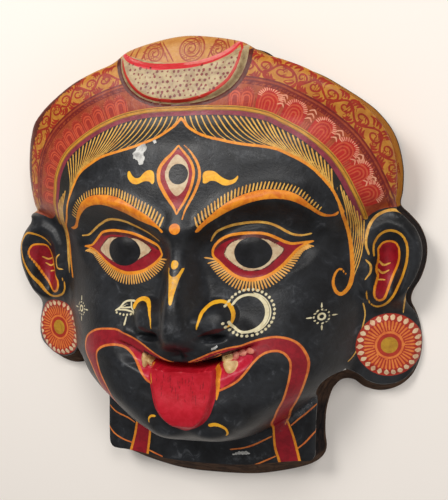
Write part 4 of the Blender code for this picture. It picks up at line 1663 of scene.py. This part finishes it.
@dataclass
class NeckPaint:
    """Crimson bands down the neck, their orange edges and the thin cross lines."""

    def paint(self, canvas: Canvas) -> None:
        """Bands first, then the lines.

        Args:
            canvas: Canvas to paint on.
        """
        canvas.fill("crimson", [(66, -178), (80, -172), (87, -190), (93, -216), (95, -228), (75, -230),
            (72, -216), (68, -200), (65.5, -186)], 3)
        canvas.fill("crimson", [(-80, -176), (-66, -182), (-68, -200), (-71, -218), (-72, -230),
            (-94, -228), (-90, -216), (-84, -196)], 3)
        for line in (
            [(66, -178), (67, -200), (71.5, -216), (74, -230)],
            [(80, -172), (86.5, -190), (92, -214), (95, -228)],
            [(-80, -176), (-84, -196), (-90, -216), (-94, -230)],
            [(-66, -182), (-68, -200), (-71, -218), (-73, -230)],
        ):
            canvas.brush("orange", tapered(line, (2, 2.6, 2.8)))
        canvas.lines("rust", [tapered(line, (1.2, 1.6, 1.2)) for line in (
            [(84, -178), (92, -170.5), (100, -164), (112, -153)],
            [(90, -201), (98, -194), (107, -184), (118, -173)],
            [(64, -190), (55, -195), (45, -200), (34, -204), (20, -206.5)],
            [(68, -210), (60, -214), (52, -218), (45, -221)],
            [(-112, -167), (-104, -174), (-92, -179), (-84, -184)],
            [(-117, -186), (-108, -197), (-98, -203), (-88, -206)],
            [(-69, -213), (-62, -216), (-54, -219)],
        )], 2)


# Finishes

def srgb(red: int, green: int, blue: int) -> Colour:
    """Screen colour from 0 to 255 as linear light: ((c + 0.055) / 1.055)^2.4."""
    return tuple(float(((v / 255 + 0.055) / 1.055) ** 2.4) for v in (red, green, blue))


@dataclass(frozen=True)
class Paint:
    """One painted layer: its two shades and how far its brush edge wanders."""

    layer: str
    shade: Colour
    other: Colour
    ragged: float = 0.35


PAINTS = (
    Paint("band", srgb(138, 48, 24), srgb(160, 72, 34), 0.5),
    Paint("field", srgb(174, 108, 34), srgb(192, 130, 46), 0.5),
    Paint("crown", srgb(178, 116, 54), srgb(194, 138, 66), 0.5),
    Paint("dimarch", srgb(158, 46, 28), srgb(144, 38, 24)),
    Paint("arch", srgb(180, 38, 26), srgb(162, 30, 22)),
    Paint("nest", srgb(196, 82, 48), srgb(184, 66, 40)),
    Paint("faint", srgb(184, 82, 52), srgb(168, 66, 42)),
    Paint("dash", srgb(224, 160, 128), srgb(206, 116, 92)),
    Paint("scroll", srgb(142, 34, 18), srgb(160, 46, 22)),
    Paint("whorl", srgb(156, 68, 34), srgb(146, 52, 28)),
    Paint("ink", srgb(104, 20, 16), srgb(124, 32, 22)),
    Paint("soot", srgb(84, 30, 18), srgb(104, 42, 24), 3.2),
    # Painted shadow under the crescent's lower edge.
    Paint("shade", srgb(74, 22, 12), srgb(96, 30, 18), 0.6),
    Paint("moon", srgb(184, 162, 120), srgb(150, 122, 88)),
    Paint("band_red", srgb(196, 32, 42), srgb(206, 48, 54)),
    # Painted highlight on the crescent's upper red band.
    Paint("band_highlight", srgb(216, 120, 112), srgb(206, 84, 82), 0.9),
    Paint("edge_red", srgb(178, 36, 28), srgb(190, 52, 40)),
    Paint("dot", srgb(128, 28, 18), srgb(98, 22, 14), 0.2),
    Paint("hairwash", srgb(26, 25, 23), srgb(38, 35, 29), 0.8),
    Paint("plum", srgb(140, 46, 62), srgb(112, 38, 50)),
    Paint("gold", srgb(198, 140, 40), srgb(176, 116, 34)),
    Paint("olive", srgb(112, 78, 26), srgb(150, 100, 32), 0.5),
    Paint("crimson", srgb(148, 20, 34), srgb(126, 14, 28)),
    Paint("glow", srgb(178, 22, 46), srgb(192, 46, 70), 1.6),
    # Dark maroon: a painted shadow under the upper lip's edge, and the marks under the nose wings.
    Paint("maroon", srgb(66, 15, 16), srgb(42, 12, 12), 0.8),
    Paint("slot", srgb(12, 9, 10), srgb(18, 12, 12)),
    Paint("tongue", srgb(174, 14, 32), srgb(190, 28, 46)),
    Paint("crack", srgb(120, 12, 24), srgb(150, 20, 34), 1.0),
    Paint("tooth", srgb(198, 158, 100), srgb(216, 184, 130)),
    Paint("gumtooth", srgb(186, 92, 80), srgb(206, 130, 108)),
    Paint("cream", srgb(206, 184, 150), srgb(184, 152, 118), 0.5),
    # Dark red-brown: a painted shadow under the upper lid, and the thin line round the cream.
    Paint("lid", srgb(66, 16, 18), srgb(92, 40, 30), 0.5),
    Paint("iris", srgb(14, 14, 16), srgb(24, 24, 28), 0.25),
    Paint("lash", srgb(226, 168, 84), srgb(208, 144, 62)),
    Paint("brow", srgb(232, 142, 30), srgb(204, 104, 20)),
    Paint("straw", srgb(226, 176, 82), srgb(192, 134, 52)),
    Paint("straws", srgb(214, 154, 44), srgb(190, 126, 34)),
    Paint("rust", srgb(222, 128, 54), srgb(196, 92, 40)),
    Paint("orange", srgb(232, 148, 36), srgb(210, 120, 28)),
    Paint("yellow", srgb(240, 180, 42), srgb(222, 152, 34)),
    Paint("disc", srgb(172, 48, 26), srgb(154, 36, 22)),
    Paint("petal", srgb(218, 124, 54), srgb(204, 98, 42)),
    Paint("rimdot", srgb(226, 200, 162), srgb(208, 164, 126)),
    Paint("core", srgb(184, 138, 34), srgb(160, 112, 28)),
    Paint("bead", srgb(222, 212, 176), srgb(200, 186, 146), 0.2),
    Paint("white", srgb(222, 212, 176), srgb(204, 190, 150), 0.2),
    # Pale marks: chips, scuffs and a pale streak on the upper lip.
    Paint("pale_mark", srgb(214, 212, 206), srgb(150, 148, 144), 2.6),
)


class Nodes:
    """Adds shader nodes to a material and joins them."""

    def __init__(self, material: bpy.types.Material) -> None:
        """Starts from the material's empty node tree."""
        material.use_nodes = True
        self.tree = material.node_tree
        self.tree.nodes.clear()

    def add(self, kind: str, inputs: dict | None = None, **settings: str) -> bpy.types.Node:
        """One node with its settings, and its inputs set or joined.

        Args:
            kind: Node type without its prefix.
            inputs: Values or sockets by input.
            settings: Node properties.

        Returns:
            The node.
        """
        node = self.tree.nodes.new("ShaderNode" + kind)
        for name, value in settings.items():
            setattr(node, name, value)
        for key, value in (inputs or {}).items():
            if isinstance(value, bpy.types.NodeSocket):
                self.tree.links.new(value, node.inputs[key])
            else:
                node.inputs[key].default_value = value
        return node

    def math(self, operation: str, *values: Value) -> bpy.types.NodeSocket:
        """Arithmetic on sockets and numbers."""
        return self.add("Math", dict(enumerate(values)), operation=operation).outputs[0]

    def smooth(self, value: Value, low: float, high: float) -> bpy.types.NodeSocket:
        """Smooth step from 0 at low to 1 at high."""
        node = self.add("MapRange", {0: value, 1: low, 2: high}, interpolation_type="SMOOTHSTEP")
        return node.outputs[0]

    def mix(self, share: Value, first: Value, second: Value) -> bpy.types.NodeSocket:
        """Colour from the first to the second by a share.

        Args:
            share: Share of the second.
            first: Colour at 0.
            second: Colour at 1.

        Returns:
            The colour.
        """
        node = self.add("Mix", data_type="RGBA")
        for key, value in ((0, share), (6, first), (7, second)):
            if isinstance(value, bpy.types.NodeSocket):
                self.tree.links.new(value, node.inputs[key])
            else:
                node.inputs[key].default_value = (*value, 1.0) if isinstance(value, tuple) else value
        return node.outputs[2]

    def noise(
        self, place: Value, scale: float, detail: float = 3.0, rough: float = 0.5, bend: float = 0.0
    ) -> bpy.types.NodeSocket:
        """Noise of a scale per metre."""
        inputs = {"Vector": place, "Scale": scale, "Detail": detail, "Roughness": rough, "Distortion": bend}
        return self.add("TexNoise", inputs).outputs["Fac"]

    def point(self, name: str) -> bpy.types.Node:
        """A mesh attribute."""
        return self.add("Attribute", attribute_name=name)


@dataclass
class PaintedPaper:
    """Matt grey-black paper skin, its painted layers, and raw brown paper on the rim and inside."""

    dark: Colour = srgb(17, 17, 19)
    mid: Colour = srgb(38, 40, 44)
    light: Colour = srgb(104, 106, 110)
    raw: Colour = srgb(86, 64, 50)
    raw_dark: Colour = srgb(50, 38, 32)
    lining: Colour = srgb(142, 118, 90)
    fleck: Colour = srgb(176, 176, 174)
    ground: Colour = srgb(44, 34, 32)
    crest_shadow: Colour = srgb(70, 24, 14)

    def depth(self, nodes: Nodes, canvas: Canvas, layer: str) -> bpy.types.NodeSocket:
        """Painted depth of a layer: its number, or the largest of half width minus |gap| of its pairs.

        Args:
            nodes: Nodes of the material.
            canvas: Canvas to paint on.
            layer: Layer to paint on.

        Returns:
            The depth.
        """
        if layer in canvas.fills:
            return nodes.point(layer).outputs["Fac"]
        found = None
        for number in range(len(canvas.pairs[layer])):
            gap = nodes.math("ABSOLUTE", nodes.point(f"{layer}_gap{number}").outputs["Fac"])
            value = nodes.math("SUBTRACT", nodes.point(f"{layer}_half{number}").outputs["Fac"], gap)
            found = value if found is None else nodes.math("MAXIMUM", found, value)
        return found

    def make(self, canvas: Canvas) -> bpy.types.Material:
        """Builds the material over the canvas's layers.

        Args:
            canvas: Canvas to paint on.

        Returns:
            The material.
        """
        material = bpy.data.materials.new("painted_paper")
        nodes = Nodes(material)
        place = nodes.add("TexCoord").outputs["Object"]
        cloud = nodes.noise(place, 22.0, 5.0, 0.6, 0.4)
        streak = nodes.noise(place, 75.0, 6.0, 0.65, 0.8)
        grain = nodes.noise(place, 420.0, 4.0, 0.6)
        tone = nodes.math("ADD", nodes.math("MULTIPLY", cloud, 0.55), nodes.math("MULTIPLY", streak, 0.45))
        colour = nodes.mix(nodes.smooth(tone, 0.36, 0.66), self.dark, self.mid)
        scuff = nodes.math("MULTIPLY", nodes.smooth(streak, 0.56, 0.74), nodes.smooth(cloud, 0.42, 0.62))
        colour = nodes.mix(nodes.math("MULTIPLY", scuff, 0.55), colour, self.light)
        wander = nodes.math("SUBTRACT", nodes.noise(place, 260.0, 3.0, 0.6), 0.5)
        shade = nodes.smooth(nodes.noise(place, 130.0, 4.0, 0.65, 0.5), 0.35, 0.68)
        for paint in PAINTS:
            depth = self.depth(nodes, canvas, paint.layer)
            depth = nodes.math("MULTIPLY_ADD", wander, 2.0 * paint.ragged, depth)
            share = nodes.smooth(depth, -0.22, 0.22)
            colour = nodes.mix(share, colour, nodes.mix(shade, paint.shade, paint.other))
        speck = nodes.noise(place, 190.0, 6.0, 0.75)
        colour = nodes.mix(nodes.math("MULTIPLY", nodes.smooth(speck, 0.62, 0.72), 0.35), colour, self.dark)
        # Lighter grey in the soft patches, partly dust and partly painted sheen; the white flecks after it
        # gather in the same patches.
        worn_and_sheen = nodes.point("dust_and_sheen").outputs["Fac"]
        dust_and_sheen = nodes.math("MULTIPLY_ADD", nodes.math("SUBTRACT", speck, 0.5), 1.9, worn_and_sheen)
        colour = nodes.mix(nodes.math("MULTIPLY", nodes.smooth(dust_and_sheen, 0.30, 1.1), 0.5), colour, self.light)
        fleck = nodes.math("MULTIPLY_ADD", nodes.math("SUBTRACT", nodes.noise(place, 640.0, 4.0, 0.7), 0.5),
            3.2, worn_and_sheen)
        colour = nodes.mix(nodes.math("MULTIPLY", nodes.smooth(fleck, 0.9, 1.4), 0.6), colour, self.fleck)
        wall = nodes.point("drop").outputs["Fac"]
        under = nodes.point("under").outputs["Fac"]
        low = nodes.add("SeparateXYZ", {0: place}).outputs[2]
        edge = nodes.smooth(nodes.math("MULTIPLY_ADD", wander, 3.0, wall), 1.6, 2.8)
        below = nodes.smooth(nodes.math("MULTIPLY_ADD", wander, 0.006, low), 0.008, 0.004)
        bare = nodes.math("MULTIPLY", edge, nodes.math("MAXIMUM", nodes.smooth(under, 0.12, 0.3), below))
        crest = nodes.point("crest").outputs["Fac"]
        onwall = nodes.smooth(wall, 0.4, 2.0)
        plain = nodes.mix(shade, self.dark, self.ground)
        shaded = nodes.mix(crest, plain, nodes.mix(0.22, colour, self.crest_shadow))
        coated = nodes.mix(onwall, colour, shaded)
        raw = nodes.mix(nodes.smooth(streak, 0.35, 0.65), self.raw, self.raw_dark)
        colour = nodes.mix(bare, coated, raw)
        inside = nodes.point("inside").outputs["Fac"]
        lining = nodes.mix(nodes.smooth(streak, 0.3, 0.7), self.lining, self.raw)
        colour = nodes.mix(inside, colour, lining)
        rough = nodes.math("MULTIPLY_ADD", streak, 0.36, 0.22)
        rough = nodes.math("MAXIMUM", rough, nodes.math("MULTIPLY", onwall, 0.9))
        shine = nodes.math("MULTIPLY_ADD", onwall, -0.26, 0.30)
        rough = nodes.math("MAXIMUM", rough, nodes.math("MULTIPLY", nodes.math("MAXIMUM", bare, inside),
            0.85))
        height = nodes.math("MULTIPLY_ADD", grain, 0.5, nodes.math("MULTIPLY", streak, 0.9))
        bump = nodes.add("Bump", {"Strength": 0.55, "Distance": 0.0006, "Height": height})
        surface = nodes.add("BsdfPrincipled", {
            "Base Color": colour, "Roughness": rough, "Specular IOR Level": shine, "Normal": bump.outputs[0],
        })
        out = nodes.add("OutputMaterial")
        nodes.tree.links.new(surface.outputs[0], out.inputs[0])
        return material


@dataclass(frozen=True)
class BakeLayout:
    """Where each side of the mask lies in its bake: scales per metre, and the corners they start from."""

    corner: tuple = (0.2157, 0.2262)
    margin: float = 0.004
    front: float = 1.84
    back: float = 0.43
    back_at: float = 0.811
    strip: float = 0.6
    outer_at: float = 0.862
    inner_at: float = 0.935
    along: tuple = (0.97, 0.015)
    level: float = 0.25
    hanging: float = -0.55
    skin: float = 0.0075


@dataclass
class MaskSkin:
    """The whole mask: moulded shell, its painting and its finish."""

    shell: MaskShell = field(default_factory=MaskShell)
    layout: BakeLayout = BakeLayout()
    crest_from: float = 0.038
    headband: HeadbandPaint = field(default_factory=HeadbandPaint)
    face: FacePaint = field(default_factory=FacePaint)
    mouth: MouthPaint = field(default_factory=MouthPaint)
    neck: NeckPaint = field(default_factory=NeckPaint)
    ears: tuple = field(default_factory=lambda: (
        EarPaint(
            [(168.5, -8), (168, 0), (170, 7), (175, 13), (182, 16), (190, 14.5), (196, 9), (199, 0),
            (198.5, -12),
             (195, -25), (190, -37), (185, -47), (178, -55), (170, -58), (164, -55), (161, -47), (162, -39)],
            [(172, -1), (176, 4), (182, 5.5), (188, 4), (191, -2), (191, -10), (189, -18), (185, -27),
            (182, -35),
             (179, -44), (176, -50), (171, -51), (168, -46), (169, -36), (171, -28), (170, -20), (172, -10)],
            [[(172, -13, 1.4), (176, -18, 2), (182, -16, 1.2)],
            [(171, -21, 1.4), (175, -25.5, 2), (181, -23, 1.2)],
             [(171, -31, 1.4), (177, -32, 1.2)],
             [(161, -11, 1.2), (165, -16, 2), (165, -23, 2), (160, -30, 1)],
             [(164, -6, 1.6), (161.5, 3, 2.4), (162, 12, 3), (165, 22, 3), (171, 30, 2.6),
             (180, 34.5, 2.6), (188, 35, 2.6), (196, 32, 2)],
             [(193, -66, 1), (195.5, -52, 1.4), (200, -38, 1)],
             [(157, -54, 1.4), (158, -66, 1.2), (155, -80, 1.2), (152, -95, 1), (147, -105, 1),
             (142, -110, 0.8)]],
            (180, -97),
        ),
        EarPaint(
            [(-172, 4), (-180, 11), (-189, 16), (-199, 17.5), (-206, 12), (-209, 2), (-206, -12),
            (-199, -25), (-190, -37),
             (-183, -47), (-178, -51), (-170, -51), (-161, -48), (-156, -42), (-156, -35), (-158, -30)],
            [(-199, -1), (-195, 4), (-188, 5), (-180, 3), (-177, -4), (-176, -12), (-175, -20), (-168, -27),
            (-163, -33),
             (-163, -40), (-168, -45), (-173, -45), (-180, -39), (-188, -28), (-194, -15), (-199, -7)],
            [[(-177, -10, 1.2), (-183, -12, 1.8), (-188, -9, 1.2)],
            [(-176, -17, 1.2), (-181, -19, 1.8), (-186, -16, 1.2)],
             [(-175, -24, 1.2), (-181, -25, 1.4)],
             [(-159, -5, 1.2), (-164, -10, 2), (-163, -19, 2), (-156, -21, 1.2)]],
            (-175, -87),
        ),
    ))

    def marks(self, canvas: Canvas) -> None:
        """Pale chips and scuffs, a pale streak on the upper lip, and soft patches of dust and painted sheen.

        Args:
            canvas: Canvas to paint on.
        """
        for corners in (
            [(-45, 96), (-40, 101), (-34, 103), (-32, 98), (-35, 94), (-33, 88), (-38, 84), (-41, 88),
            (-45, 90)],
            [(-27, 107), (-23, 106), (-20, 103.5), (-24, 104)],
            [(19, -212.5), (30, -211), (40, -210.5), (39, -207.5), (30, -208)],
            [(137, -118), (140, -117), (141, -122), (138.5, -125), (136.5, -122)],
            # A pale streak on the upper lip.
            [(29, -86), (33, -84), (36, -82), (34, -82), (30, -84.5)],
        ):
            canvas.fill("pale_mark", corners, 3)
        # Soft lighter patches: partly dust and wear, partly painted sheen where light catches the forehead,
        # nose, cheeks and ear tops.
        for centre, size, turn, most in (
            ((62, 90), (60, 12), -10, 0.62), ((-70, 80), (46, 11), 24, 0.42), ((0, -22), (10, 46), 0, 0.72),
            ((0, -62), (24, 16), 0, 0.55), ((98, -160), (62, 9), 40, 0.80), ((-98, -158), (56, 9), -42, 0.72),
            ((0, -183), (46, 7), 0, 0.62), ((100, -40), (36, 22), -30, 0.38),
            ((-96, -44), (24, 26), 20, 0.42),
            ((40, -214), (60, 10), 6, 0.55), ((-60, 57), (46, 8), 8, 0.30), ((14, 108), (44, 7), -20, 0.62),
            ((184, 30), (22, 6), -6, 0.60), ((-192, 24), (20, 6), 6, 0.55), ((-36, 118), (60, 5), 12, 0.30),
        ):
            canvas.haze("dust_and_sheen", centre, size, turn, most)

    def unwrap(self, data: bpy.types.Mesh, points: np.ndarray, side: np.ndarray) -> None:
        """Bake layout: front from above, ceiling small beside it, outer and inner walls as strips.

        Args:
            data: Mesh to give the layout.
            points: Vertex positions.
            side: Which side of the paper each vertex lies on.
        """
        count, corners = len(data.polygons), len(data.loops)
        vertex, start, normal = np.empty(corners, np.int32), np.empty(count, np.int32), np.empty(count * 3,
            np.float32)
        data.loops.foreach_get("vertex_index", vertex)
        data.polygons.foreach_get("loop_start", start)
        data.polygons.foreach_get("normal", normal)
        up = normal.reshape(-1, 3)[:, 2]
        face = np.repeat(np.arange(count), np.diff(np.append(start, corners)))
        least, most = np.minimum.reduceat(side[vertex], start), np.maximum.reduceat(side[vertex], start)
        rim, plan = self.shell.rim, self.layout
        ring, outward, lean = rim.ring()
        x, y, z = points[:, 0], points[:, 1] + rim.middle_y, points[:, 2]
        index = rim.nearest(x, y)[1]
        gap = (x - ring[index, 0]) * outward[index, 0] + (y - ring[index, 1]) * outward[index, 1]
        gap = gap + lean[index] * np.minimum(z, rim.draft_top)
        near = np.minimum.reduceat(gap[vertex], start) > -plan.skin
        front = (most == Side.FRONT.value) | (up > plan.level)
        inner = (least == Side.BACK.value) & near & (up > plan.hanging) & ~front
        back = (most == Side.BACK.value) & ~inner & ~front
        outer = ~(front | inner | back)
        along = index[vertex] / len(ring)
        low = np.minimum.reduceat(along, start)[face]
        along = plan.along[0] * np.where(along - low > 0.5, along - 1.0, along) + plan.along[1]
        right, ahead = x[vertex] + plan.corner[0], points[vertex, 1] + plan.corner[1]
        u, v = plan.margin + plan.front * right, plan.margin + plan.front * ahead
        u = np.where(back[face], plan.back_at + plan.back * right, np.where(front[face], u, along))
        v = np.where(back[face], plan.margin + plan.back * ahead, v)
        strip = plan.strip * z[vertex]
        v = np.where(outer[face], plan.outer_at + strip, np.where(inner[face], plan.inner_at + strip, v))
        flat = np.column_stack([u, v]).astype(np.float32).ravel()
        data.uv_layers.new(name="OFBake").data.foreach_set("uv", flat)

    def build(self) -> bpy.types.Object:
        """Moulds, paints and finishes the mask.

        Returns:
            The mask's object.
        """
        skin = self.shell.build()
        data = skin.data
        points = np.empty(len(data.vertices) * 3, np.float32)
        data.vertices.foreach_get("co", points)
        points = points.reshape(-1, 3).astype(float)
        rim = self.shell.rim
        side = self.shell.sides(points)
        x, y = points[:, 0], points[:, 1] + rim.middle_y
        ring, outward, lean = rim.ring()
        top = np.full(len(ring), 0.03)
        for _ in range(6):
            at = ring - outward * (lean * np.minimum(top, rim.draft_top))[:, None]
            top = 0.5 * top + 0.5 * self.shell.front(at[:, 0], at[:, 1])
        index = rim.nearest(x, y)[1]
        drop = np.where(side == Side.WALL.value, (top[index] - points[:, 2]) * 1000, -0.5)
        under = np.clip((lean[index] - rim.draft) / rim.under_draft, 0.0, 1.0)
        self.unwrap(data, points, side)
        for name, value in (
            ("drop", drop), ("under", under), ("inside", (side == Side.BACK.value) * 1.0),
            ("crest", (y > self.crest_from) * 1.0),
        ):
            data.attributes.new(name, "FLOAT", "POINT").data.foreach_set("value", value.astype(np.float32))
        down = (side == Side.WALL.value) * np.maximum(drop, 0.0)
        canvas = Canvas(x * 1000 + outward[index, 0] * down, y * 1000 + outward[index, 1] * down)
        self.headband.paint(canvas, self.shell.crescent)
        self.neck.paint(canvas)
        self.face.paint(canvas)
        self.mouth.paint(canvas, self.shell.mouth)
        for ear in self.ears:
            ear.paint(canvas)
        self.marks(canvas)
        canvas.store(data)
        data.materials.clear()
        data.materials.append(PaintedPaper().make(canvas))
        LOG.info("mask_skin: %d vertices, %d triangles, %d layers", len(points),
                 sum(len(face.vertices) - 2 for face in data.polygons), len(canvas.fills) + len(canvas.pairs))
        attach(skin, "root")
        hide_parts("mask_shell")
        return skin


@dataclass
class Studio:
    """Pale floor and soft lights."""

    floor_tone: Colour = (0.92, 0.86, 0.80)
    half_floor: float = 4.0
    warm: Colour = (1.0, 0.98, 0.95)
    cool: Colour = (0.97, 0.98, 1.0)
    sky: Colour = (1.0, 0.99, 0.98)
    sky_strength: float = 0.30

    def light(self, name: str, place: tuple, size: float, power: float, tint: Colour) -> None:
        """Square soft light aimed at the mask's middle.

        Args:
            name: Object name.
            place: Where the light hangs.
            size: Half sizes.
            power: Watts.
            tint: Light colour.
        """
        data = bpy.data.lights.new(name, "AREA")
        data.size, data.energy, data.color = size, power, tint
        lamp = bpy.data.objects.new(name, data)
        back = np.array(place, float)
        back /= np.linalg.norm(back)
        right = np.cross((0.0, 1.0, 0.0), back)
        right /= np.linalg.norm(right)
        world = Matrix(np.column_stack([right, np.cross(back, right), back]).tolist()).to_4x4()
        world.translation = place
        lamp.matrix_world = world
        bpy.context.scene.collection.objects.link(lamp)

    def make(self) -> None:
        """Floor, key from the upper left, fill from the right and an even sky."""
        corners = self.half_floor * np.array([(-1.0, -1.0, 0.0), (1.0, -1.0, 0.0), (1.0, 1.0, 0.0),
            (-1.0, 1.0, 0.0)])
        floor = mesh_from("floor", corners, [[0, 1, 2, 3]])
        material = bpy.data.materials.new("floor")
        nodes = Nodes(material)
        surface = nodes.add("BsdfPrincipled", {"Base Color": (*self.floor_tone, 1.0), "Roughness": 0.9})
        out = nodes.add("OutputMaterial")
        nodes.tree.links.new(surface.outputs[0], out.inputs[0])
        floor.data.materials.append(material)
        self.light("key", (-0.50, 0.80, 1.30), 0.5, 14.0, self.warm)
        self.light("second", (0.55, 0.75, 1.35), 0.5, 8.0, self.warm)
        self.light("fill", (1.1, -0.4, 1.1), 1.2, 2.5, self.cool)
        world = bpy.data.worlds.new("studio")
        world.use_nodes = True
        background = world.node_tree.nodes["Background"]
        background.inputs[0].default_value = (*self.sky, 1.0)
        background.inputs[1].default_value = self.sky_strength
        bpy.context.scene.world = world
        bpy.context.scene.view_settings.view_transform = "Standard"


def main() -> None:
    """Builds the mask, the studio and the camera."""
    logging.basicConfig(level=logging.INFO)
    MaskSkin().build()
    Studio().make()
    Viewpoint().make()


if __name__ == "__main__":
    main()
